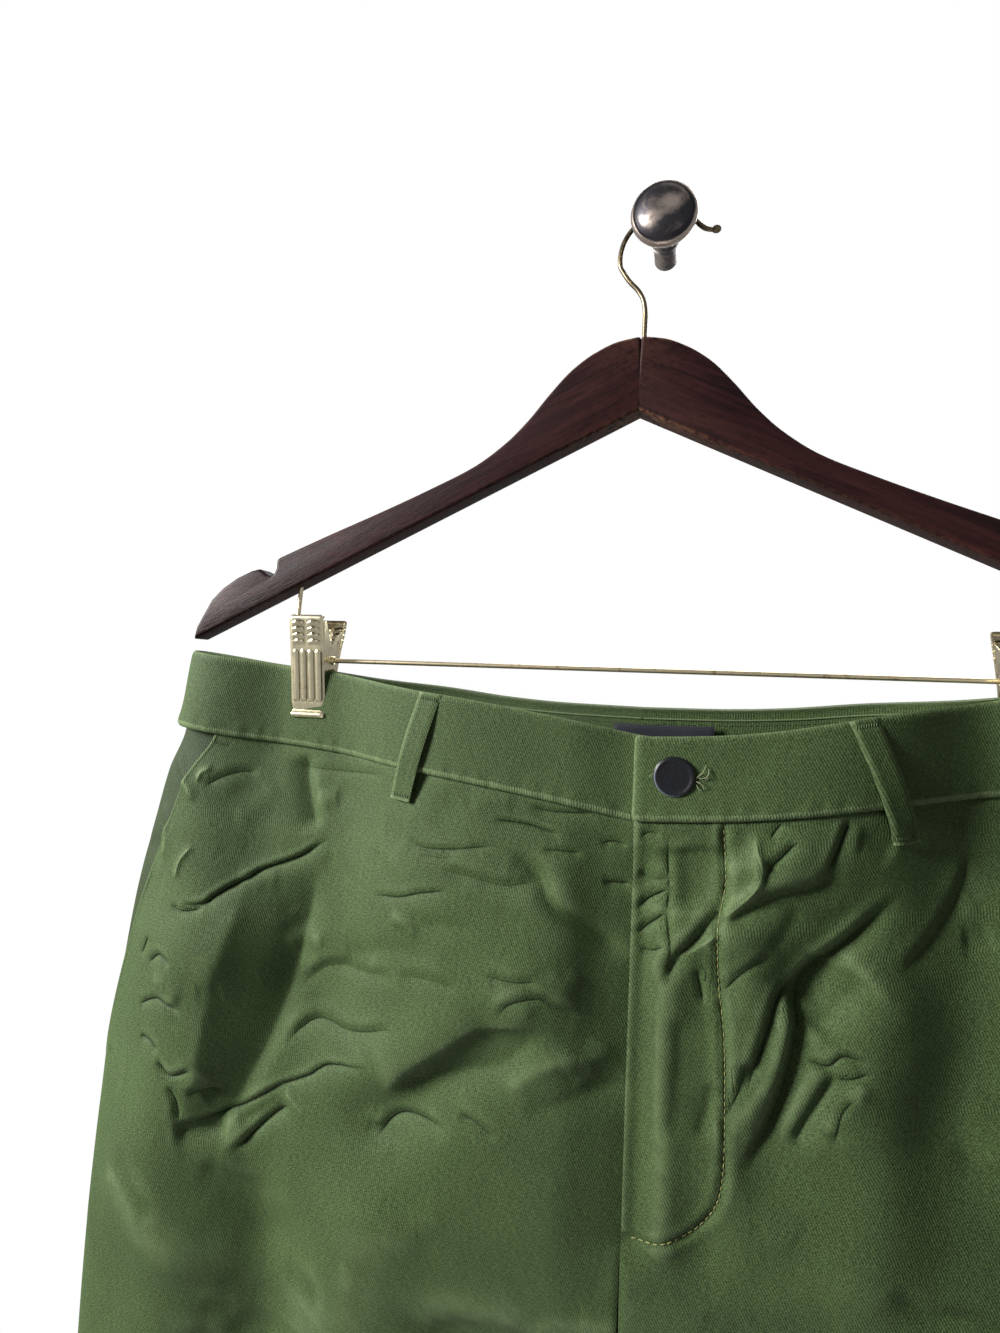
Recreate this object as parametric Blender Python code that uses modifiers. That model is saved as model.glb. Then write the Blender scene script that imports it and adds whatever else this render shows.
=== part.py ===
# Chino shorts clipped to a wooden trouser hanger, which hangs from a round wall knob.
#
# Metres, +Z up, +X to the viewer's right, +Y into the wall. The origin is the middle of the
# knob's flat back. "Right" and "left" in names are the wearer's, so right is at negative X.
#
# The cloth is worked out in millimetres in two steps. cloth_point gives the middle of the
# wall for a place on the garment: a face (front or back), a side, "across" (from the centre
# seam or inseam to the side seam) and a "level" (-1 top of the waistband, 0 its lower seam,
# 1 the hem). wall_point then moves that point out or in along the cloth's own normal.

import math

import bmesh
import bpy
from mathutils import Vector

MM = 0.001
FRONT, BACK = -1, 1
RIGHT, LEFT = -1, 1
SIDE_NAMES = {RIGHT: "right", LEFT: "left"}

# ---- Driving sizes, in millimetres ------------------------------------------------------

SEAM_GAP = 0.3                 # between pieces that are sewn or lie on each other
PANEL_WALL = 1.2               # cotton twill with its seam turnings
BAND_WALL = 2.4                # waistband: two layers and interlining
HEM_HEIGHT = -712.0            # height of the hem, below the knob's axis
PANEL_LEVELS = (0.0009, 1.0)   # from just below the band's seam to the hem
BAND_LEVELS = (-1.0, -0.008)   # and the band ends just above that seam
ROUNDNESS = 2.8                # how square the flattened tube of cloth is at its sides
NIPPED_DEPTH = 1.9             # half the distance between front and back in the clips
FOLD_FREE_EDGE = 24.0          # folds die out over this distance from a side seam
CALM_LEVEL = 0.05              # and over this share of the length below the waistband

HANGER_X = -8.6                # hanger's centre joint, from the knob's axis
HANGER_Y = -23.5               # hanger's mid-plane, in front of the wall
GARMENT_X = -3.6               # centre front, from the knob's axis

FLY_WIDTH = 36.0               # width of the hidden shield under the lap
FLY_END_LEVEL = 0.36           # bottom of the fly
UNDER_LAP = 5.0                # right front carried on under the left one
LAP_STEP = 2.0                 # how far the right front steps back under the left one
LAP_STEP_END_LEVEL = 0.43
LAP_EDGE = 5.0                 # the step is full up to here, then fades over LAP_FADE
LAP_FADE = 24.0
LAP_FADE_LEVELS = 0.035
BAND_LAP_EDGE = 2.0            # the same for the waistband
BAND_LAP_FADE = 26.0
ZIP_X = (5.8, 30.0)
ZIP_LEVELS = (0.03, 0.28)
SLIDER_X = (16.0, 21.0)
SLIDER_LEVELS = (0.004, 0.029)
SHIELD_X = (-10.0, FLY_WIDTH)
SHIELD_LEVELS = (0.003, FLY_END_LEVEL)
POCKET_END_LEVEL = 0.36
POCKET_TOP_INSET = 24.0        # pocket mouth from the side seam, at the waistband
FACING_OVERLAP = 14.0          # facing carried on under the front
FACING_STEP = 2.9              # and how far it lies behind it
FACING_SHORT_LEVEL = 0.02      # it ends this much above the pocket mouth's end

LOOP_WIDTH = 9.3
LOOP_WALL = 1.2
LOOP_ABOVE = 1.0               # over the band's top edge
LOOP_BELOW = 15.0              # below the band's seam
LOOP_BOW = 1.1                 # how far its middle stands off the band
LABEL_X = (-13.0, 32.0)
LABEL_LEVELS = (-0.80, -0.18)
LABEL_WALL = 0.8
BUTTON_X = 17.0
BUTTON_LEVEL = -0.52
BUTTON_SIDES = 20

WOOD_THICK = 12.9
WOOD_TIP = 223.0
WOOD_EDGE = 1.4                # eased edge of the wood
WIRE_RADIUS = 1.1
WIRE_HOLE = 1.4
BAR_HEIGHT = -198.0
POST_TOP_X = 165.1             # the bar's posts spread a little below the wood
BAR_END_X = 168.4
POST_TOP = -155.0              # the posts end inside the wood
BAR_CORNER = 3.0
BAR_CORNER_STEPS = 4
CLIP_X = 155.4                 # clip centre, from the hanger's centre
CLIP_WIDTH = 17.4
CLIP_TOP = -177.0
CLIP_BOTTOM = -225.5
CLIP_SHEET = 1.0
CLIP_LIP = 1.6                 # how far the rolled lip stands out
GRIP_HALF_WIDTH = 13.0         # the cloth is flat over the clip and a little beyond it
HOOK_RADIUS = 19.5
HOOK_CENTRE_Z = -11.0
HOOK_BEND = (190.0, 38.0)      # degrees, from the shank over the top to the tip
HOOK_BEND_STEPS = 12
HOOK_BALL = 1.9
HOOK_HOLE_END = -66.5          # bottom of the hook's hole in the wood
KNOB_NECK = 7.1
KNOB_SIDES = 24

# ---- Tables -----------------------------------------------------------------------------

# One row for each level: distance of the side fold from the centre, the mid-plane's depth,
# how far front and back stand off it, how far the centre has closed into two legs, the
# distance of the inner edge from the centre, and the clips' grip and the width it spreads.
SECTION_COLUMNS = ("level", "side", "middle", "front", "back", "closing", "inner", "grip", "spread")
SECTIONS = (
    (-1.00, 224.0, -2.0, 23.0, 13.0, 0.00, 0.15, 1.00, 34.0),
    (0.00, 231.3, -2.0, 26.0, 15.0, 0.00, 0.15, 0.97, 38.0),
    (0.05, 240.0, -2.5, 27.0, 16.0, 0.00, 0.15, 0.80, 42.0),
    (0.10, 246.0, -3.0, 28.0, 17.0, 0.00, 0.15, 0.62, 46.0),
    (0.19, 256.0, -3.5, 29.0, 18.0, 0.00, 0.15, 0.42, 50.0),
    (0.30, 263.4, -4.0, 30.0, 18.5, 0.00, 0.15, 0.28, 54.0),
    (0.38, 267.0, -4.0, 30.0, 19.0, 0.08, 0.30, 0.20, 56.0),
    (0.46, 270.0, -4.0, 29.0, 19.0, 0.50, 0.60, 0.12, 58.0),
    (0.53, 272.0, -4.0, 28.0, 19.0, 1.00, 0.90, 0.08, 60.0),
    (0.60, 274.0, -4.0, 27.0, 19.0, 1.00, 3.00, 0.04, 60.0),
    (0.80, 278.0, -4.0, 25.0, 18.0, 1.00, 10.0, 0.00, 60.0),
    (1.00, 281.0, -4.0, 24.0, 17.0, 1.00, 16.0, 0.00, 60.0),
)

# Height of the waistband's lower seam at a share of the way from the centre to the side.
# The front hangs lowest at the centre, and the lap drags the wearer's left side down more.
SEAM_HEIGHTS = {
    (FRONT, RIGHT): ((0.0, -258.8), (0.20, -251.4), (0.39, -245.8), (0.585, -241.9),
                     (0.70, -239.3), (0.80, -237.4), (1.0, -232.0)),
    (FRONT, LEFT): ((0.0, -258.8), (0.14, -256.4), (0.25, -253.3), (0.39, -247.9),
                    (0.585, -242.5), (0.70, -239.3), (0.80, -237.4), (1.0, -232.0)),
    (BACK, RIGHT): ((0.0, -251.5), (0.16, -250.8), (0.28, -249.2), (0.43, -245.4),
                    (0.56, -242.8), (0.70, -239.3), (0.80, -237.4), (1.0, -232.0)),
    (BACK, LEFT): ((0.0, -251.5), (0.16, -250.8), (0.28, -249.2), (0.43, -245.4),
                   (0.56, -242.8), (0.70, -239.3), (0.80, -237.4), (1.0, -232.0)),
}

# Height of the waistband over that seam, at the same shares: it is pulled out full at the
# clips, and rolls in a little where the front hangs free between them.
BAND_HEIGHTS = {
    (FRONT, RIGHT): ((0.0, 33.3), (0.39, 33.5), (0.585, 35.4), (0.70, 36.0), (1.0, 36.0)),
    (FRONT, LEFT): ((0.0, 33.3), (0.03, 32.2), (0.20, 31.9), (0.33, 32.5), (0.42, 33.6), (0.585, 35.2),
                    (0.70, 36.0), (1.0, 36.0)),
    (BACK, RIGHT): ((0.0, 36.0), (1.0, 36.0)),
    (BACK, LEFT): ((0.0, 36.0), (1.0, 36.0)),
}

# The largest folds, each a soft ridge (height above 0) or trough between two places on the
# garment's face: x from the centre, z below the knob's axis.
FOLD_COLUMNS = ("face", "x0", "z0", "x1", "z1", "width", "height")
FOLDS = (
    # under the right clip: a ridge over the hip, then the deep trough beside it
    (FRONT, -200.0, -262.0, -204.0, -330.0, 26.0, 7.0),
    (FRONT, -206.0, -350.0, -226.0, -450.0, 26.0, 8.0),
    (FRONT, -138.0, -262.0, -142.0, -345.0, 22.0, -7.0),
    (FRONT, -144.0, -360.0, -164.0, -450.0, 22.0, -8.0),
    # across the right front, rising towards the fly
    (FRONT, -108.0, -402.0, -58.0, -354.0, 15.0, -6.0),
    (FRONT, -100.0, -376.0, -48.0, -336.0, 16.0, 4.0),
    (FRONT, -90.0, -300.0, -60.0, -310.0, 40.0, 4.0),
    (FRONT, -18.0, -275.0, -14.0, -360.0, 14.0, -3.0),
    # down from the left clip towards the fly, and the sharp trough beside it
    (FRONT, 88.0, -290.0, 66.0, -314.0, 13.0, -6.0),
    (FRONT, 66.0, -322.0, 52.0, -384.0, 13.0, -7.0),
    (FRONT, 48.0, -330.0, 36.0, -392.0, 13.0, 4.0),
    (FRONT, 62.0, -262.0, 38.0, -298.0, 14.0, 4.0),
    (FRONT, 196.0, -264.0, 206.0, -350.0, 26.0, 7.0),
    (FRONT, 136.0, -268.0, 118.0, -362.0, 22.0, -8.0),
    (FRONT, 104.0, -330.0, 92.0, -420.0, 20.0, 5.0),
    # long soft folds down the legs
    (FRONT, -210.0, -480.0, -222.0, -700.0, 24.0, 6.0),
    (FRONT, -160.0, -470.0, -166.0, -712.0, 20.0, -8.0),
    (FRONT, -110.0, -450.0, -104.0, -712.0, 24.0, 5.0),
    (FRONT, -58.0, -500.0, -52.0, -712.0, 18.0, -6.0),
    (FRONT, 212.0, -450.0, 224.0, -700.0, 24.0, 6.0),
    (FRONT, 164.0, -430.0, 176.0, -712.0, 20.0, -8.0),
    (FRONT, 118.0, -460.0, 122.0, -712.0, 24.0, 6.0),
    (FRONT, 64.0, -480.0, 70.0, -712.0, 18.0, -7.0),
    # the back, which hangs flatter against the wall
    (BACK, -196.0, -266.0, -212.0, -420.0, 26.0, 3.0),
    (BACK, -138.0, -262.0, -122.0, -400.0, 24.0, -6.0),
    (BACK, -70.0, -330.0, -30.0, -450.0, 24.0, -5.0),
    (BACK, 132.0, -262.0, 118.0, -390.0, 24.0, -6.0),
    (BACK, 74.0, -340.0, 34.0, -450.0, 24.0, -5.0),
    (BACK, 198.0, -270.0, 214.0, -430.0, 26.0, 3.0),
    (BACK, -176.0, -470.0, -184.0, -712.0, 22.0, -6.0),
    (BACK, -92.0, -500.0, -84.0, -712.0, 22.0, -6.0),
    (BACK, 172.0, -460.0, 186.0, -712.0, 22.0, -6.0),
    (BACK, 90.0, -500.0, 80.0, -712.0, 22.0, -6.0),
)

# Top edge of one wooden half: x from the centre, z below the knob's axis.
WOOD_TOP = ((0.0, -49.4), (10.0, -51.0), (20.0, -55.2), (30.0, -62.0), (40.0, -72.4), (50.0, -84.4),
            (60.0, -94.2), (75.0, -104.8), (95.0, -114.2), (120.0, -124.8), (150.0, -136.8), (176.5, -147.8))
WOOD_NOTCH_AND_END = ((176.6, -152.5), (180.0, -156.4), (183.3, -154.3), (186.4, -152.9), (190.5, -153.8),
                      (199.0, -157.6), (206.8, -162.7), (213.0, -168.6), (217.4, -176.1), (221.2, -182.8))
WOOD_BOTTOM_CENTRE = -82.6
WOOD_SLOPE = 0.4785            # fall of the lower edge for each millimetre outward

# Route of the hook from the wood to the start of its round bend, x from the knob's axis.
HOOK_SHANK = ((-7.6, -66.0), (-7.6, -52.0), (-7.5, -44.0), (-7.5, -36.5), (-8.5, -30.5), (-11.2, -25.8),
              (-14.9, -21.6), (-17.9, -17.0))
# and from the end of that bend to the ball.
HOOK_TIP = ((17.7, -0.8), (20.4, -1.7), (22.4, -1.7))

# Side view of the clip's plates and ears: depth from the hanger's mid-plane, height.
CLIP_FRONT_PLATE = ((-12.0, CLIP_TOP), (-6.5, -222.5))
CLIP_BACK_PLATE = ((16.0, -178.0), (8.2, -199.0), (2.5, -222.5))
CLIP_FRONT_EAR = ((-10.8, -179.0), (-8.0, -178.8), (-3.4, -189.5), (2.6, -193.2), (4.6, -198.0),
                  (2.6, -200.8), (-5.4, -201.0), (-7.9, -207.0))
CLIP_BACK_EAR = ((13.0, -182.0), (-2.4, -193.4), (-4.4, -198.0), (-2.4, -200.8), (3.0, -201.0), (6.3, -202.6))

# Half outlines of the turned pieces, from the front to the back: radius, distance out.
KNOB_PROFILE = ((0.0, 42.8), (5.4, 42.3), (9.4, 40.8), (12.2, 38.4), (13.2, 37.8), (14.0, 37.0), (14.3, 35.6),
                (13.8, 34.0), (12.2, 32.6), (8.4, 30.0), (KNOB_NECK, 26.5), (KNOB_NECK, 19.5),
                (6.2, 16.0), (5.4, 10.0), (5.4, 0.0), (0.0, 0.0))
BUTTON_PROFILE = ((0.0, 3.2), (6.3, 3.0), (6.9, 3.4), (7.6, 3.6), (8.4, 3.2), (8.6, 2.2), (8.0, 1.5),
                  (3.2, 1.0), (3.2, 0.0), (0.0, 0.0))

# Belt loops: face, distance from the centre, how much farther out the lower end stands.
BELT_LOOPS = {
    ("front", RIGHT): (FRONT, 90.0, 12.5),
    ("front", LEFT): (FRONT, 85.0, 17.0),
    ("side_back", RIGHT): (BACK, 178.0, 3.0),
    ("side_back", LEFT): (BACK, 177.0, 4.0),
    ("back", RIGHT): (BACK, 42.0, 2.0),
    ("back", LEFT): (BACK, 43.0, 1.0),
}

# Cells of each sheet of cloth: along it and down it.
CELLS = {
    "front": (19, 28),
    "back": (15, 24),
    "waistband": (48, 3),
    "pocket_facing": (8, 20),
    "belt_loop": (1, 10),
    "back_label": (9, 2),
    "fly_shield": (4, 20),
    "zip_strip": (3, 20),
    "zip_slider": (1, 2),
}


# ---- Small helpers ----------------------------------------------------------------------

def clamp(value, low=0.0, high=1.0):
    return max(low, min(high, value))


def smooth(value):
    value = clamp(value)
    return value * value * (3.0 - 2.0 * value)


def mix(a, b, share):
    return a + (b - a) * share


def slope_at(points, index):
    """Slope of the smooth curve through the points, without overshoot."""
    before = points[max(index - 1, 0)]
    here = points[index]
    after = points[min(index + 1, len(points) - 1)]
    if before is here or after is here:
        return (after[1] - before[1]) / (after[0] - before[0])
    left = (here[1] - before[1]) / (here[0] - before[0])
    right = (after[1] - here[1]) / (after[0] - here[0])
    if left * right <= 0.0:
        return 0.0
    return 2.0 * left * right / (left + right)


def curve_through(points, x):
    """Value at x of a smooth curve through (x, value) points in rising order of x."""
    x = clamp(x, points[0][0], points[-1][0])
    index = 0
    while index < len(points) - 2 and x > points[index + 1][0]:
        index += 1
    (x0, y0), (x1, y1) = points[index], points[index + 1]
    width = x1 - x0
    t = (x - x0) / width
    m0 = slope_at(points, index) * width
    m1 = slope_at(points, index + 1) * width
    return ((2 * t ** 3 - 3 * t ** 2 + 1) * y0 + (t ** 3 - 2 * t ** 2 + t) * m0
            + (3 * t ** 2 - 2 * t ** 3) * y1 + (t ** 3 - t ** 2) * m1)


SECTION_CURVES = {
    name: [(row[0], row[index]) for row in SECTIONS]
    for index, name in enumerate(SECTION_COLUMNS)
    if index > 0
}
FOLD_ROWS = [dict(zip(FOLD_COLUMNS, row)) for row in FOLDS]


def section(level):
    return {name: curve_through(points, level) for name, points in SECTION_CURVES.items()}


# ---- The cloth's form -------------------------------------------------------------------

def half_width(row):
    """Half the flattened tube's width: of the whole body, or of one leg once it has closed."""
    return (row["side"] - row["inner"]) / (1.0 + row["closing"])


def across_of(row, x):
    return 1.0 - (row["side"] - x) / half_width(row)


def seam_height(face, side, share):
    return curve_through(SEAM_HEIGHTS[(face, side)], share)


def band_height(face, side, share):
    return curve_through(BAND_HEIGHTS[(face, side)], share)


def height_at(face, side, x, level, row):
    near_side = side if x >= 0.0 else -side
    share = abs(x) / row["side"]
    seam = seam_height(face, near_side, share)
    if level <= 0.0:
        return seam - level * band_height(face, near_side, share)
    return mix(seam, HEM_HEIGHT, level)


def fold_height(face, x, z):
    total = 0.0
    for fold in FOLD_ROWS:
        if fold["face"] != face:
            continue
        run_x = fold["x1"] - fold["x0"]
        run_z = fold["z1"] - fold["z0"]
        along = clamp(((x - fold["x0"]) * run_x + (z - fold["z0"]) * run_z) / (run_x ** 2 + run_z ** 2))
        away = math.hypot(x - fold["x0"] - along * run_x, z - fold["z0"] - along * run_z)
        total += fold["height"] * math.exp(-(away / fold["width"]) ** 2)
    return total


def clip_place(side):
    """Distance of a clip from the garment's centre."""
    return CLIP_X + side * (HANGER_X - GARMENT_X)


def cloth_point(face, side, across, level):
    row = section(level)
    x = row["side"] - half_width(row) * (1.0 - across)
    z = height_at(face, side, x, level, row)
    bulge = max(0.0, 1.0 - abs(across) ** ROUNDNESS) ** (1.0 / ROUNDNESS)
    from_clip = max(0.0, abs(x - clip_place(side)) - GRIP_HALF_WIDTH)
    grip = row["grip"] * math.exp(-(from_clip / row["spread"]) ** 2)
    depth = mix(row["front"] if face == FRONT else row["back"], NIPPED_DEPTH, grip) * bulge
    calm = smooth((row["side"] - x) / FOLD_FREE_EDGE) * smooth(level / CALM_LEVEL)
    in_leg = smooth((row["closing"] - 0.4) / 0.6)
    calm *= mix(1.0, smooth((x - row["inner"]) / FOLD_FREE_EDGE), in_leg)
    depth += fold_height(face, side * x, z) * calm * (1.0 - grip)
    y = row["middle"] + face * (max(depth, 0.0) + SEAM_GAP / 2)
    return Vector((side * x, y, z))


def wall_point(face, side, across, level, proud):
    """A point of the cloth, moved out from the middle of the wall by proud millimetres."""
    tiny = 1e-5
    low = -section(level)["closing"]
    before = across - tiny if across - tiny >= low else across
    after = across + tiny if across + tiny <= 1.0 else across
    sideways = cloth_point(face, side, after, level) - cloth_point(face, side, before, level)
    downward = (cloth_point(face, side, across, min(level + tiny, 1.0))
                - cloth_point(face, side, across, max(level - tiny, -1.0)))
    outward = downward.cross(sideways).normalized() * (-side * face)
    return cloth_point(face, side, across, level) + outward * proud


def garment_place(point):
    return Vector(((point.x + GARMENT_X) * MM, (point.y + HANGER_Y) * MM, point.z * MM))


def hanger_place(x, depth, z):
    return Vector(((x + HANGER_X) * MM, (depth + HANGER_Y) * MM, z * MM))


# ---- Mesh tools -------------------------------------------------------------------------

def make_material(name, colour, roughness, metallic=0.0):
    material = bpy.data.materials.new(name)
    material.use_nodes = True
    shader = material.node_tree.nodes["Principled BSDF"]
    shader.inputs["Base Color"].default_value = (*colour, 1.0)
    shader.inputs["Roughness"].default_value = roughness
    shader.inputs["Metallic"].default_value = metallic
    return material


def add_object(name, mesh_tool, collection, material=None):
    """Turns a bmesh into a named object and frees it."""
    bmesh.ops.recalc_face_normals(mesh_tool, faces=mesh_tool.faces)
    if mesh_tool.calc_volume(signed=True) < 0.0:
        bmesh.ops.reverse_faces(mesh_tool, faces=mesh_tool.faces)
    mesh = bpy.data.meshes.new(name)
    mesh_tool.to_mesh(mesh)
    mesh_tool.free()
    mesh.shade_smooth()
    mesh.set_sharp_from_angle(angle=math.radians(40))
    thing = bpy.data.objects.new(name, mesh)
    collection.objects.link(thing)
    if material:
        mesh.materials.append(material)
    return thing


def slab(columns, rows):
    """A flat slab whose points carry (u, v, w): along, down and through, each from 0 to 1."""
    tool = bmesh.new()
    bmesh.ops.create_grid(tool, x_segments=columns, y_segments=rows, size=0.5)
    extruded = bmesh.ops.extrude_face_region(tool, geom=tool.faces[:], use_keep_orig=True)
    top = [item for item in extruded["geom"] if isinstance(item, bmesh.types.BMVert)]
    bmesh.ops.translate(tool, verts=top, vec=(0.0, 0.0, 1.0))
    bmesh.ops.translate(tool, verts=tool.verts, vec=(0.5, 0.5, 0.0))
    return tool


def cloth_sheet(name, cells, place, collection, material):
    """A wall of cloth: each point of a slab is sent to its place on the garment."""
    tool = slab(*cells)
    for vert in tool.verts:
        vert.co = garment_place(place(vert.co.x, vert.co.y, vert.co.z))
    return add_object(name, tool, collection, material)


def outline_solid(name, outline, thickness, place, collection, material=None):
    """A flat outline given thickness, its points sent through place(a, b, through)."""
    tool = bmesh.new()
    face = tool.faces.new([tool.verts.new((a, b, -thickness / 2)) for a, b in outline])
    extruded = bmesh.ops.extrude_face_region(tool, geom=[face], use_keep_orig=True)
    far = [item for item in extruded["geom"] if isinstance(item, bmesh.types.BMVert)]
    bmesh.ops.translate(tool, verts=far, vec=(0.0, 0.0, thickness))
    for vert in tool.verts:
        vert.co = place(*vert.co)
    return add_object(name, tool, collection, material)


def cylinder(name, start, end, radius, collection, material=None, sides=16):
    start, end = Vector(start), Vector(end)
    run = end - start
    tool = bmesh.new()
    bmesh.ops.create_cone(tool, cap_ends=True, segments=sides, radius1=radius, radius2=radius,
                          depth=run.length)
    turn = run.to_track_quat("Z", "Y")
    for vert in tool.verts:
        vert.co = turn @ vert.co + (start + end) / 2
    return add_object(name, tool, collection, material)


def wire(name, points, radius, collection, material, resolution=2):
    curve = bpy.data.curves.new(name, "CURVE")
    curve.dimensions = "3D"
    curve.bevel_depth = radius
    curve.bevel_resolution = resolution
    curve.use_fill_caps = True
    spline = curve.splines.new("POLY")
    spline.points.add(len(points) - 1)
    for point, place in zip(spline.points, points):
        point.co = (*place, 1.0)
    thing = bpy.data.objects.new(name, curve)
    collection.objects.link(thing)
    curve.materials.append(material)
    return thing


def as_mesh(thing, collection):
    """Replaces a curve object by a welded mesh of the same name."""
    name = thing.name
    evaluated = thing.evaluated_get(bpy.context.evaluated_depsgraph_get())
    mesh = bpy.data.meshes.new_from_object(evaluated)
    tool = bmesh.new()
    tool.from_mesh(mesh)
    bmesh.ops.remove_doubles(tool, verts=tool.verts, dist=0.00001)
    bpy.data.objects.remove(thing, do_unlink=True)
    return add_object(name, tool, collection)


def boolean(thing, other, operation):
    modifier = thing.modifiers.new(other.name, "BOOLEAN")
    modifier.operation = operation
    modifier.object = other
    other.hide_render = True
    other.display_type = "WIRE"


def bevel(thing, width, segments, angle=40):
    modifier = thing.modifiers.new("eased edges", "BEVEL")
    modifier.width = width
    modifier.segments = segments
    modifier.limit_method = "ANGLE"
    modifier.angle_limit = math.radians(angle)


# ---- Cloth pieces -----------------------------------------------------------------------

def spread(u, closing):
    """Shares of a panel's width, closer together where the cloth turns round a fold."""
    open_side = 1.0 - (1.0 - u) ** 1.4
    both_sides = (1.0 - math.cos(math.pi * u)) / 2
    return mix(open_side, both_sides, closing)


def pocket_x(level, row):
    """Front edge of the slanted pocket mouth, which ends in the side seam."""
    share = clamp(level / POCKET_END_LEVEL)
    return row["side"] - POCKET_TOP_INSET * (1.0 - share) ** 0.85


def fly_step(level, end):
    """1 along the fly, where the right front lies under the left, and 0 below its end."""
    return 1.0 - smooth((level - end) / LAP_FADE_LEVELS)


def front_panel(side, collection, material):
    def place(u, v, w):
        level = mix(*PANEL_LEVELS, v)
        row = section(level)
        outer = across_of(row, pocket_x(level, row)) if level < POCKET_END_LEVEL else 1.0
        under = fly_step(level, FLY_END_LEVEL) if side == RIGHT else 0.0
        step = fly_step(level, LAP_STEP_END_LEVEL) if side == RIGHT else 0.0
        inner = -row["closing"] - UNDER_LAP * under / half_width(row)
        across = mix(inner, outer, spread(u, row["closing"]))
        x = row["side"] - half_width(row) * (1.0 - across)
        back_step = -LAP_STEP * step * (1.0 - smooth((x - LAP_EDGE) / LAP_FADE))
        return wall_point(FRONT, side, across, level, back_step + PANEL_WALL * (0.5 - w))

    return cloth_sheet("front_" + SIDE_NAMES[side], CELLS["front"], place, collection, material)


def back_panel(side, collection, material):
    def place(u, v, w):
        level = mix(*PANEL_LEVELS, v)
        closing = section(level)["closing"]
        across = mix(-closing, 1.0, spread(u, closing))
        return wall_point(BACK, side, across, level, PANEL_WALL * (0.5 - w))

    return cloth_sheet("back_" + SIDE_NAMES[side], CELLS["back"], place, collection, material)


def waistband(side, collection, material):
    """From centre front, round the side fold, to centre back. The right one starts under the lap."""
    start = -FLY_WIDTH if side == RIGHT else 0.0

    def place(u, v, w):
        level = mix(*BAND_LEVELS, v)
        row = section(level)
        face = FRONT if u <= 0.5 else BACK
        share = 2.0 * u if face == FRONT else 2.0 * (1.0 - u)
        first = start / half_width(row) if face == FRONT else 0.0
        across = mix(first, 1.0, 1.0 - (1.0 - share) ** 1.35)
        x = row["side"] - half_width(row) * (1.0 - across)
        under = 0.0
        if side == RIGHT and face == FRONT:
            step = BAND_WALL + 2 * SEAM_GAP
            under = -step * (1.0 - smooth((x - BAND_LAP_EDGE) / BAND_LAP_FADE))
        return wall_point(face, side, across, level, under + BAND_WALL * (0.5 - w))

    return cloth_sheet("waistband_" + SIDE_NAMES[side], CELLS["waistband"], place, collection, material)


def pocket_facing(side, collection, material):
    """The strip behind the slanted pocket mouth."""
    def place(u, v, w):
        level = mix(PANEL_LEVELS[0], POCKET_END_LEVEL - FACING_SHORT_LEVEL, v)
        row = section(level)
        inner = across_of(row, pocket_x(level, row) - FACING_OVERLAP)
        across = mix(inner, 1.0, 1.0 - (1.0 - u) ** 1.6)
        proud = -FACING_STEP + PANEL_WALL * (0.5 - w)
        return wall_point(FRONT, side, across, level, proud)

    name = "pocket_facing_" + SIDE_NAMES[side]
    return cloth_sheet(name, CELLS["pocket_facing"], place, collection, material)


def fly_layer(name, x_range, level_range, depth_range, collection, material):
    """A flat layer behind the left front, given by its distances behind the cloth."""
    def place(u, v, w):
        level = mix(*level_range, v)
        row = section(level)
        x = mix(*x_range, u)
        side = LEFT if x >= row["inner"] else RIGHT
        return wall_point(FRONT, side, across_of(row, abs(x)), level, -mix(*depth_range, w))

    return cloth_sheet(name, CELLS[name], place, collection, material)


def belt_loop(kind, side, collection, material):
    """A strip over the waistband, from just above its top edge to below its seam."""
    face, centre, lean = BELT_LOOPS[(kind, side)]

    def place(u, v, w):
        half_waist = section(-0.5)["side"]
        x = centre + lean * v + LOOP_WIDTH * (u - 0.5)
        seam = seam_height(face, side, x / half_waist)
        height = band_height(face, side, x / half_waist)
        z = mix(seam + height, seam - LOOP_BELOW, v)
        level = (seam - z) / height if z >= seam else (seam - z) / (seam - HEM_HEIGHT)
        row = section(level)
        lift = BAND_WALL / 2 + SEAM_GAP + LOOP_WALL * (1.0 - w) + LOOP_BOW * math.sin(math.pi * v)
        point = wall_point(face, side, across_of(row, x), level, lift)
        point.z += LOOP_ABOVE * (1.0 - v)
        return point

    name = "belt_loop_%s_%s" % (kind, SIDE_NAMES[side])
    return cloth_sheet(name, CELLS["belt_loop"], place, collection, material)


def back_label(collection, material):
    """A blank label on the inner face of the back waistband."""
    def place(u, v, w):
        x = mix(*LABEL_X, u)
        level = mix(*LABEL_LEVELS, v)
        row = section(level)
        side = LEFT if x >= 0.0 else RIGHT
        across = across_of(row, max(abs(x), row["inner"]))
        return wall_point(BACK, side, across, level, -(BAND_WALL / 2 + SEAM_GAP + LABEL_WALL * w))

    return cloth_sheet("back_label", CELLS["back_label"], place, collection, material)


def turned(name, profile, sides, place, collection, material):
    """A solid turned about the line out of the wall, from its profile and its back's place."""
    mesh = bpy.data.meshes.new(name)
    points = [(radius * MM, 0.0, out * MM) for radius, out in profile]
    mesh.from_pydata(points, [(index, index + 1) for index in range(len(points) - 1)], [])
    mesh.materials.append(material)
    thing = bpy.data.objects.new(name, mesh)
    thing.location = place
    thing.rotation_euler = (math.radians(90), 0.0, 0.0)
    collection.objects.link(thing)
    screw = thing.modifiers.new("turned", "SCREW")
    screw.steps = sides
    screw.render_steps = sides
    screw.use_merge_vertices = True
    screw.merge_threshold = 0.00001
    return thing


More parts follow.
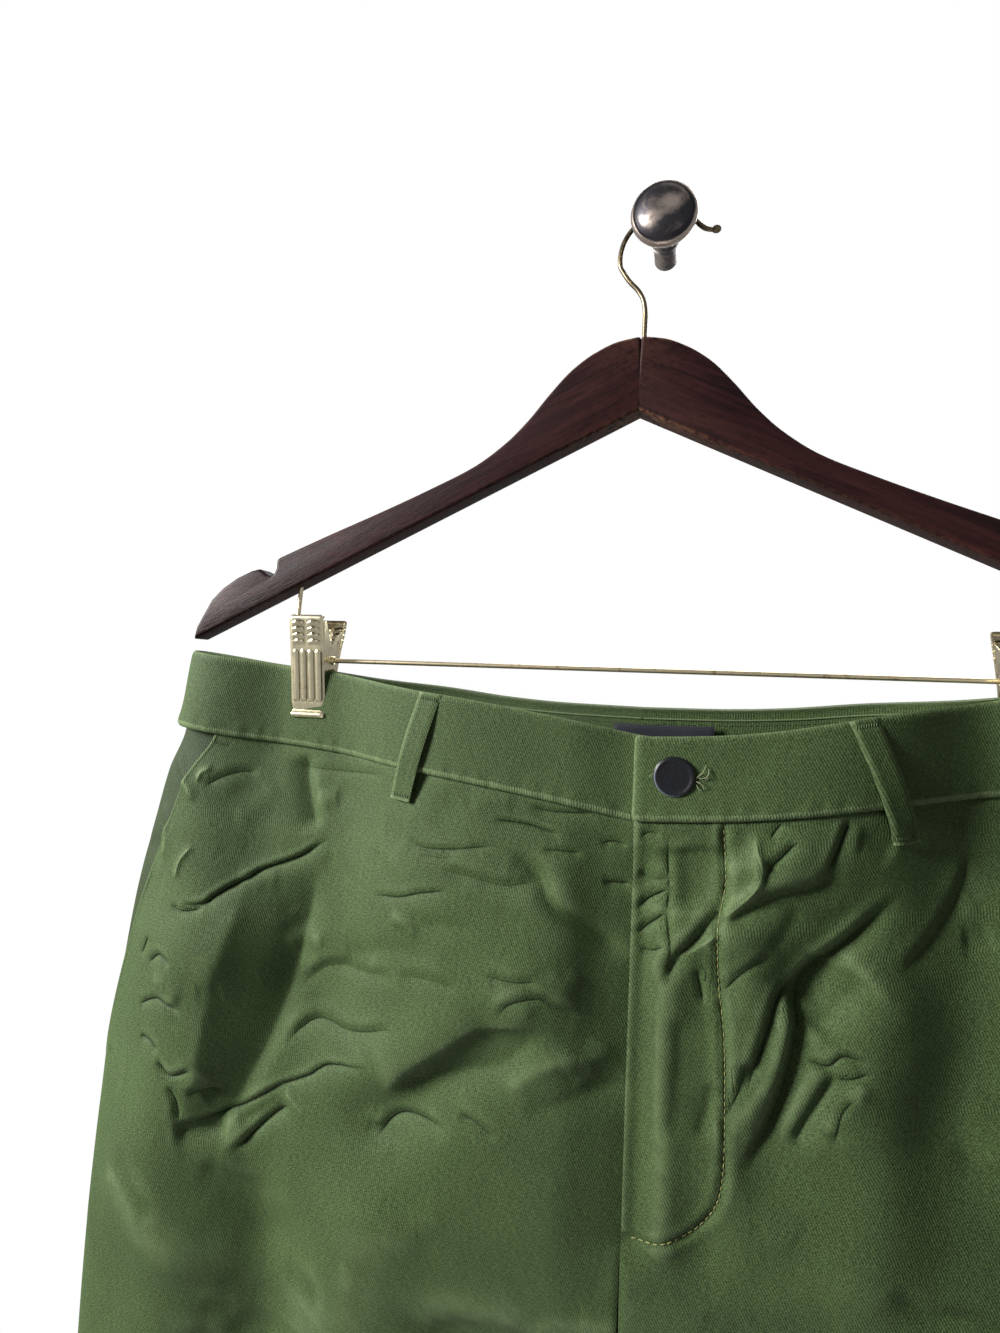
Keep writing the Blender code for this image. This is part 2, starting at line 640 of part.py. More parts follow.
def button(collection, material):
    """A shanked button with a raised rim, in front of the lap."""
    row = section(BUTTON_LEVEL)
    seat = wall_point(FRONT, LEFT, across_of(row, BUTTON_X), BUTTON_LEVEL, BAND_WALL / 2 + SEAM_GAP)
    return turned("button", BUTTON_PROFILE, BUTTON_SIDES, garment_place(seat), collection, material)


# ---- Hanger, clips and knob -------------------------------------------------------------

def wood_outline():
    top = []
    for start, end in zip(WOOD_TOP, WOOD_TOP[1:]):
        steps = 3 if start[0] < 75.0 else 2
        top += [mix(start[0], end[0], step / steps) for step in range(steps)]
    points = [(max(x, SEAM_GAP / 2), curve_through(WOOD_TOP, x)) for x in top] + [WOOD_TOP[-1]]
    points += WOOD_NOTCH_AND_END
    points.append((WOOD_TIP, WOOD_BOTTOM_CENTRE - WOOD_SLOPE * WOOD_TIP))
    points.append((SEAM_GAP / 2, WOOD_BOTTOM_CENTRE))
    return points


def hanger_arm(side, collection, cutters, material):
    def place(a, b, through):
        return hanger_place(side * a, through, b)

    name = "hanger_arm_" + SIDE_NAMES[side]
    arm = outline_solid(name, wood_outline(), WOOD_THICK, place, collection, material)
    bevel(arm, WOOD_EDGE * MM, 2, angle=60)
    post_hole = cylinder(name + "_post_hole", post_place(side, 0.5), post_place(side, -0.05),
                         WIRE_HOLE * MM, cutters)
    boolean(arm, post_hole, "DIFFERENCE")
    shank_x = HOOK_SHANK[0][0] * MM
    shank_hole = cylinder(name + "_shank_hole", (shank_x, HANGER_Y * MM, HOOK_HOLE_END * MM),
                          (shank_x, HANGER_Y * MM, HOOK_SHANK[3][1] * MM), WIRE_HOLE * MM, cutters)
    boolean(arm, shank_hole, "DIFFERENCE")
    return arm


def post_place(side, share):
    """A place on a post's line, from its top end in the wood down to the bar's bend."""
    return hanger_place(side * mix(POST_TOP_X, BAR_END_X, share), 0.0,
                        mix(POST_TOP, BAR_HEIGHT + BAR_CORNER, share))


def hook_route():
    places = list(HOOK_SHANK)
    for step in range(HOOK_BEND_STEPS + 1):
        angle = math.radians(mix(*HOOK_BEND, step / HOOK_BEND_STEPS))
        places.append((HOOK_RADIUS * math.cos(angle), HOOK_CENTRE_Z + HOOK_RADIUS * math.sin(angle)))
    places += HOOK_TIP
    return [Vector((x * MM, HANGER_Y * MM, z * MM)) for x, z in places]


def hanger_hook(collection, cutters, material):
    route = hook_route()
    thing = as_mesh(wire("hanger_hook", route, WIRE_RADIUS * MM, collection, material), collection)
    thing.data.materials.clear()
    thing.data.materials.append(material)
    tool = bmesh.new()
    bmesh.ops.create_uvsphere(tool, u_segments=12, v_segments=8, radius=HOOK_BALL * MM)
    for vert in tool.verts:
        vert.co += route[-1]
    boolean(thing, add_object("hanger_hook_ball", tool, cutters), "UNION")
    return thing


def hanger_bar(collection, material):
    """One wire: up into the wood at each end, straight between."""
    far_half = [(POST_TOP_X, POST_TOP), (BAR_END_X, BAR_HEIGHT + BAR_CORNER)]
    for step in range(1, BAR_CORNER_STEPS + 1):
        angle = math.radians(90 * step / BAR_CORNER_STEPS)
        far_half.append((BAR_END_X - BAR_CORNER + BAR_CORNER * math.cos(angle),
                         BAR_HEIGHT + BAR_CORNER - BAR_CORNER * math.sin(angle)))
    near_half = [(-x, z) for x, z in far_half]
    points = [hanger_place(x, 0.0, z) for x, z in near_half + far_half[::-1]]
    return wire("hanger_bar", points, WIRE_RADIUS * MM, collection, material)


def clip_part(name, side, plate, ear, width, bow, collection, cutters, material):
    """A bent plate with a rolled lip and two drilled ears. bow is -1 in front, 1 behind."""
    centre = side * CLIP_X
    lip_depth, lip_z = plate[-1]
    outer_face = list(plate)
    outer_face += [(lip_depth + bow * 0.3, lip_z - 0.8), (lip_depth + bow * CLIP_LIP, lip_z - 1.8),
                   (lip_depth + bow * (CLIP_LIP - 0.5), CLIP_BOTTOM)]
    inner_face = [(lip_depth - bow * (CLIP_SHEET - 0.3), CLIP_BOTTOM)]
    inner_face += [(depth - bow * CLIP_SHEET, z) for depth, z in reversed(plate)]
    ear_x = width / 2 - CLIP_SHEET / 2

    def plate_place(depth, z, through):
        return hanger_place(centre + through, depth, z)

    body = outline_solid(name, outer_face + inner_face, width, plate_place, collection, material)
    for hand in (-1, 1):
        def ear_place(depth, z, through):
            return hanger_place(centre + hand * ear_x + through, depth, z)

        ear_solid = outline_solid("%s_ear_%d" % (name, hand), ear, CLIP_SHEET, ear_place, cutters)
        boolean(body, ear_solid, "UNION")
    hole = cylinder(name + "_hole", hanger_place(centre - width, 0.0, BAR_HEIGHT),
                    hanger_place(centre + width, 0.0, BAR_HEIGHT), WIRE_HOLE * MM, cutters)
    boolean(body, hole, "DIFFERENCE")
    return body


# ---- Assembly ---------------------------------------------------------------------------

def clear_scene():
    for thing in list(bpy.data.objects):
        bpy.data.objects.remove(thing, do_unlink=True)


def new_collection(name):
    collection = bpy.data.collections.new(name)
    bpy.context.scene.collection.children.link(collection)
    return collection


def build():
    clear_scene()
    parts = new_collection("chino shorts on a clip hanger")
    cutters = new_collection("cutters")
    cloth = make_material("olive twill", (0.075, 0.145, 0.045), 0.55)
    shade_cloth = make_material("olive pocket twill", (0.055, 0.11, 0.035), 0.6)
    tape = make_material("zip tape", (0.05, 0.09, 0.035), 0.7)
    label_cloth = make_material("dark navy satin", (0.012, 0.014, 0.02), 0.45)
    black = make_material("black navy button", (0.01, 0.011, 0.016), 0.35)
    wood = make_material("dark mahogany", (0.045, 0.008, 0.009), 0.35)
    brass = make_material("pale brass", (0.75, 0.68, 0.45), 0.25, 1.0)
    iron = make_material("antique iron", (0.12, 0.11, 0.11), 0.35, 1.0)

    for side in (RIGHT, LEFT):
        front_panel(side, parts, cloth)
        back_panel(side, parts, cloth)
        waistband(side, parts, cloth)
        pocket_facing(side, parts, shade_cloth)
        hanger_arm(side, parts, cutters, wood)
        clip_part("clip_front_" + SIDE_NAMES[side], side, CLIP_FRONT_PLATE, CLIP_FRONT_EAR,
                  CLIP_WIDTH, -1, parts, cutters, brass)
        clip_part("clip_back_" + SIDE_NAMES[side], side, CLIP_BACK_PLATE, CLIP_BACK_EAR,
                  CLIP_WIDTH - 2 * (CLIP_SHEET + SEAM_GAP), 1, parts, cutters, brass)

    for kind, side in BELT_LOOPS:
        belt_loop(kind, side, parts, cloth)

    shield_front = LAP_STEP + PANEL_WALL / 2 + 3 * SEAM_GAP
    shield_depth = (shield_front, shield_front + PANEL_WALL)
    zip_depth = (PANEL_WALL / 2 + 4 * SEAM_GAP, shield_front - 2 * SEAM_GAP)
    fly_layer("fly_shield", SHIELD_X, SHIELD_LEVELS, shield_depth, parts, cloth)
    fly_layer("zip_strip", ZIP_X, ZIP_LEVELS, zip_depth, parts, tape)
    fly_layer("zip_slider", SLIDER_X, SLIDER_LEVELS, zip_depth, parts, brass)
    back_label(parts, label_cloth)
    button(parts, black)
    hanger_hook(parts, cutters, brass)
    hanger_bar(parts, brass)
    turned("wall_knob", KNOB_PROFILE, KNOB_SIDES, (0.0, 0.0, 0.0), parts, iron)


build()
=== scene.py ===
import math

import bpy
import numpy as np
from mathutils import Matrix, Vector
from mathutils.bvhtree import BVHTree


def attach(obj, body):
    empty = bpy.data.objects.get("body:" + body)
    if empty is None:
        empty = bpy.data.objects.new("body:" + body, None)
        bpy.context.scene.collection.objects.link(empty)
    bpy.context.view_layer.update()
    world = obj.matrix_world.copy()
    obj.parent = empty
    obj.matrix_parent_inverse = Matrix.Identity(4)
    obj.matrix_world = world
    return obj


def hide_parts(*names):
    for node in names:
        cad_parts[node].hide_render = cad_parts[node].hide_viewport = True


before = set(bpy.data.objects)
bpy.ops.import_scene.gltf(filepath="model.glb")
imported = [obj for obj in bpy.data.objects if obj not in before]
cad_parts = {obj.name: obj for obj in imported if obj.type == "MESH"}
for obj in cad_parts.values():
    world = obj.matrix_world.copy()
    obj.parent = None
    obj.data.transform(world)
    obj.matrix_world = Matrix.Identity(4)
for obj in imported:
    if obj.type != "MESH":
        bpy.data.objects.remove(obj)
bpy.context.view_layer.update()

# Chino shorts clipped to a wooden hanger on a wall knob. Sizes are in millimetres unless a name says otherwise.
# "Right" and "left" are the wearer's, so right is at negative X.

bpy.ops.object.select_all(action="DESELECT")
scene = bpy.context.scene
mm = 0.001
merged = 0.00001                                   # points closer than this, in metres, are one
front, back = -1, 1
right, left = -1, 1
sideName = {right: "right", left: "left"}
print("frame loaded,", len(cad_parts), "nodes")


# materials

class Wire:
    # a node's output, on which arithmetic adds Math nodes
    def __init__(self, finish, made, output):
        self.finish, self.made, self.output = finish, made, output

    def calc(self, operation, *values):
        return self.finish.node("ShaderNodeMath", {"operation": operation}, dict(enumerate((self,) + values)))

    def other(self, output):
        return Wire(self.finish, self.made, output)

    def __add__(self, value):
        return self.calc("ADD", value)

    def __sub__(self, value):
        return self.calc("SUBTRACT", value)

    def __rsub__(self, value):
        return self.finish.node("ShaderNodeMath", {"operation": "SUBTRACT"}, {0: value, 1: self})

    def __mul__(self, value):
        return self.calc("MULTIPLY", value)

    def between(self, low, high):
        # 0 at low, 1 at high, smooth
        return self.finish.node("ShaderNodeMapRange", {"interpolation_type": "SMOOTHSTEP"},
                                {0: self, 1: low, 2: high})

    __radd__ = __add__
    __rmul__ = __mul__


class Finish:
    # one material: its Principled shader and the nodes that feed it
    def __init__(self, name, **fixed):
        self.material = bpy.data.materials.new(name)
        self.material.use_nodes = True
        self.tree = self.material.node_tree
        self.shader = self.tree.nodes["Principled BSDF"]
        for socket, value in fixed.items():
            self.shader.inputs[socket.replace("_", " ")].default_value = value

    def node(self, kind, settings=None, inputs=None, output=0):
        made = self.tree.nodes.new(kind)
        for name, value in (settings or {}).items():
            setattr(made, name, value)
        for name, value in (inputs or {}).items():
            self.feed(made.inputs[name], value)
        return Wire(self, made, output)

    def feed(self, socket, value):
        if isinstance(value, Wire):
            self.tree.links.new(value.made.outputs[value.output], socket)
        elif isinstance(value, tuple) and len(value) == 3 and socket.type == "RGBA":
            socket.default_value = (*value, 1.0)
        else:
            socket.default_value = value

    def place(self):
        return self.node("ShaderNodeTexCoord", output=3)

    def flat(self):
        # the cloth's own surface, in metres across and up
        return self.node("ShaderNodeUVMap", {"uv_map": "cloth"})

    def mark(self, name):
        return self.node("ShaderNodeAttribute", {"attribute_name": name}, output=2)

    def stretch(self, vector, scale, turn=(0.0, 0.0, 0.0)):
        return self.node("ShaderNodeMapping", {}, {0: vector, "Scale": scale, "Rotation": turn})

    def noise(self, vector, scale, detail=3.0, rough=0.5, bend=0.0):
        return self.node("ShaderNodeTexNoise", {},
                         {"Vector": vector, "Scale": scale, "Detail": detail, "Roughness": rough, "Distortion": bend})

    def blend(self, share, first, second):
        return self.node("ShaderNodeMix", {"data_type": "RGBA", "blend_type": "MIX", "clamp_factor": True},
                         {0: share, 6: first, 7: second}, 2)

    def relief(self, height, depth, strength=1.0, under=None):
        inputs = {"Height": height, "Distance": depth * mm, "Strength": strength}
        if under is not None:
            inputs["Normal"] = under
        return self.node("ShaderNodeBump", {}, inputs)

    def finish(self, **sockets):
        for socket, value in sockets.items():
            self.feed(self.shader.inputs[socket.replace("_", " ")], value)
        return self.material


twill = {
    "pitch": 1.02, "angle": 65.0,                  # rib spacing, and its slope from level
    "deep": (0.0135, 0.0255, 0.0068), "plain": (0.093, 0.151, 0.050), "wornAndHighlit": (0.21, 0.28, 0.14),
    "rough": 0.66,
    "waver": 90.0, "threads": (2000.0, 520.0, 1.0), "flecks": 1700.0, "clouds": 14.0, "wearSpots": 130.0,
    "fraySpots": 420.0, "crumples": 75.0,          # how fine each pattern is
}


def clothFinish(name, paintedShade=1.0):
    # paintedShade darkens every colour of the twill: painted shade, 0.5 for the pocket facing
    cloth = Finish(name, Roughness=twill["rough"], Sheen_Weight=0.03, Sheen_Roughness=0.4, Specular_IOR_Level=0.25)
    cloth.shader.inputs["Sheen Tint"].default_value = (0.6, 0.8, 0.5, 1.0)
    flat = cloth.flat()
    parts = cloth.node("ShaderNodeSeparateXYZ", {}, {0: flat})
    across, up = parts, parts.other(1)
    angle = math.radians(twill["angle"])
    waver = cloth.noise(flat, twill["waver"], 2.0)
    phase = (across * math.sin(angle) + up * math.cos(angle)) * (2 * math.pi / (twill["pitch"] * mm)) + waver * 5.0
    rib = phase.calc("SINE") * 0.5 + 0.5
    along = cloth.stretch(flat, (1.0, 1.0, 1.0), (0.0, 0.0, angle))
    thread = cloth.noise(cloth.stretch(along, twill["threads"]), 1.0, 2.0).between(0.30, 0.70)
    fleck = cloth.noise(flat, twill["flecks"], 1.0, 0.6).between(0.30, 0.70)
    cloudy = cloth.noise(flat, twill["clouds"], 4.0, 0.6)
    # raised cloth is lighter: rubbed wear, partly a painted highlight
    ridgeWearAndHighlight = cloth.mark("ridgeWearAndHighlight")
    edge = cloth.mark("edge")
    tone = rib * 0.30 + thread * 0.42 + fleck * 0.38 + cloudy * 0.56 - 0.42
    colour = cloth.blend(tone.calc("MAXIMUM", 0.0), tuple(c * paintedShade for c in twill["deep"]),
                         tuple(c * paintedShade for c in twill["plain"]))
    # a crease's fine line, from its distance and depth: painted shade darkens the groove and a painted highlight
    # lightens a ridge, besides the bump below
    away, pressedIn = cloth.mark("creaseAway"), cloth.mark("creaseDepth")
    groove = (away * away * -4.0).calc("EXPONENT")
    colour = cloth.blend(groove * pressedIn * 0.72, colour, tuple(c * 0.3 for c in twill["deep"]))
    # lighter edges: worn cloth, and on the band and the loops also a painted highlight
    frayed = edge * (0.35 + 0.9 * cloth.noise(flat, twill["fraySpots"], 3.0, 0.6))
    # a painted highlight on a ridge's line
    ridge = (groove * pressedIn * -0.5).calc("MAXIMUM", 0.0)
    wearAndHighlight = ridgeWearAndHighlight * 0.38 * (0.5 + cloth.noise(flat, twill["wearSpots"], 3.0)) + frayed + ridge
    colour = cloth.blend(wearAndHighlight.between(0.0, 1.25), colour, tuple(c * paintedShade for c in twill["wornAndHighlit"]))
    ribRelief = cloth.relief(rib * 0.7 + thread * 0.5 + fleck * 0.25, 0.16, 0.8)
    under = ((away + 0.55) * (away + 0.55) * -0.9).calc("EXPONENT") * 0.45
    pinched = cloth.relief((groove * 0.75 + under) * pressedIn * -1.0, 0.9, 1.0, ribRelief)
    soft = cloth.relief(cloth.noise(flat, twill["crumples"], 3.0, 0.55, 0.6), 0.9, 0.5, pinched)
    shine = 0.06 * cloudy + twill["rough"] - 0.03 + 0.10 * rib
    return cloth.finish(Base_Color=colour, Roughness=shine, Normal=soft)


def threadFinish(name, colour):
    # twisted sewing thread
    thread = Finish(name, Sheen_Weight=0.2)
    place = thread.place()
    twist = thread.noise(place, 2400.0, 2.0)
    tone = thread.blend(twist.between(0.35, 0.65), tuple(0.62 * c for c in colour), colour)
    return thread.finish(Base_Color=tone, Roughness=0.6 + 0.1 * twist, Normal=thread.relief(twist, 0.1, 0.6))


# the garment's form

garment = {
    "centreX": -3.6, "middleY": -23.5,             # centre front and the hanger's mid-plane, from the knob
    "hem": -712.0, "roundness": 2.8, "nipped": 1.9, "gap": 0.3,
    "clipX": {right: 159.4, left: 151.4}, "gripHalf": 13.0, "freeEdge": 24.0,
    "panelWall": 1.2, "bandWall": 2.4,
    "seam": -250.0, "long": 460.0,                 # the band's seam and what lies below it, roughly
}

# level (-1 band top, 0 its seam, 1 hem): side, mid-plane, front and back depth, closing, inner edge, grip, its spread
formNames = ("side", "middle", "front", "back", "closing", "inner", "grip", "spread")
form = {
    -1.00: (224.0, -2.0, 23.0, 13.0, 0.00, 0.15, 1.00, 34.0),
    0.00: (231.3, -2.0, 26.0, 15.0, 0.00, 0.15, 0.97, 38.0),
    0.05: (240.0, -2.5, 27.0, 16.0, 0.00, 0.15, 0.80, 42.0),
    0.10: (246.0, -3.0, 28.0, 17.0, 0.00, 0.15, 0.62, 46.0),
    0.19: (256.0, -3.5, 29.0, 18.0, 0.00, 0.15, 0.42, 50.0),
    0.30: (263.4, -4.0, 30.0, 18.5, 0.00, 0.15, 0.28, 54.0),
    0.38: (267.0, -4.0, 30.0, 19.0, 0.08, 0.30, 0.20, 56.0),
    0.46: (270.0, -4.0, 29.0, 19.0, 0.50, 0.60, 0.12, 58.0),
    0.53: (272.0, -4.0, 28.0, 19.0, 1.00, 0.90, 0.08, 60.0),
    0.60: (274.0, -4.0, 27.0, 19.0, 1.00, 3.00, 0.04, 60.0),
    0.80: (278.0, -4.0, 25.0, 18.0, 1.00, 10.0, 0.00, 60.0),
    1.00: (281.0, -4.0, 24.0, 17.0, 1.00, 16.0, 0.00, 60.0),
}

seamHeights = {
    (front, right): ((0.0, -258.8), (0.20, -251.4), (0.39, -245.8), (0.585, -241.9),
                     (0.70, -239.3), (0.80, -237.4), (1.0, -232.0)),
    (front, left): ((0.0, -258.8), (0.14, -256.4), (0.25, -253.3), (0.39, -247.9),
                    (0.585, -242.5), (0.70, -239.3), (0.80, -237.4), (1.0, -232.0)),
    (back, right): ((0.0, -251.5), (0.16, -250.8), (0.28, -249.2), (0.43, -245.4),
                    (0.56, -242.8), (0.70, -239.3), (0.80, -237.4), (1.0, -232.0)),
}
seamHeights[back, left] = seamHeights[back, right]
bandHeights = {
    (front, right): ((0.0, 33.3), (0.39, 33.5), (0.585, 35.4), (0.70, 36.0), (1.0, 36.0)),
    (front, left): ((0.0, 33.3), (0.03, 32.2), (0.20, 31.9), (0.33, 32.5), (0.42, 33.6), (0.585, 35.2),
                    (0.70, 36.0), (1.0, 36.0)),
    (back, right): ((0.0, 36.0), (1.0, 36.0)), (back, left): ((0.0, 36.0), (1.0, 36.0)),
}

# the great folds, as on the solids: face, two places (x from the centre, z), half width, height
folds = (
    (front, -200, -262, -204, -330, 26, 7), (front, -206, -350, -226, -450, 26, 8),
    (front, -138, -262, -142, -345, 22, -7), (front, -144, -360, -164, -450, 22, -8),
    (front, -108, -402, -58, -354, 15, -6), (front, -100, -376, -48, -336, 16, 4),
    (front, -90, -300, -60, -310, 40, 4), (front, -18, -275, -14, -360, 14, -3),
    (front, 88, -290, 66, -314, 13, -6), (front, 66, -322, 52, -384, 13, -7),
    (front, 48, -330, 36, -392, 13, 4), (front, 62, -262, 38, -298, 14, 4),
    (front, 196, -264, 206, -350, 26, 7), (front, 136, -268, 118, -362, 22, -8),
    (front, 104, -330, 92, -420, 20, 5), (front, -210, -480, -222, -700, 24, 6),
    (front, -160, -470, -166, -712, 20, -8), (front, -110, -450, -104, -712, 24, 5),
    (front, -58, -500, -52, -712, 18, -6), (front, 212, -450, 224, -700, 24, 6),
    (front, 164, -430, 176, -712, 20, -8), (front, 118, -460, 122, -712, 24, 6),
    (front, 64, -480, 70, -712, 18, -7), (back, -196, -266, -212, -420, 26, 3),
    (back, -138, -262, -122, -400, 24, -6), (back, -70, -330, -30, -450, 24, -5),
    (back, 132, -262, 118, -390, 24, -6), (back, 74, -340, 34, -450, 24, -5),
    (back, 198, -270, 214, -430, 26, 3), (back, -176, -470, -184, -712, 22, -6),
    (back, -92, -500, -84, -712, 22, -6), (back, 172, -460, 186, -712, 22, -6),
    (back, 90, -500, 80, -712, 22, -6),
)

# soft swells that only the cloth's surface has, in the same order
swells = (
    (front, -24, -280, -18, -360, 14, 2.4),
    (front, -34, -300, -30, -420, 18, 1.6), (front, 4, -275, 4, -425, 9, -2.6), (front, 15, -270, 15, -425, 6, 1.4),
    (front, 31, -275, 31, -425, 9, -2.0), (front, 88, -290, 66, -314, 13, 3.0), (front, 66, -322, 52, -384, 13, 4.0),
    (front, 48, -330, 36, -392, 13, -2.0), (front, -146, -395, -156, -450, 14, 3.0),
)

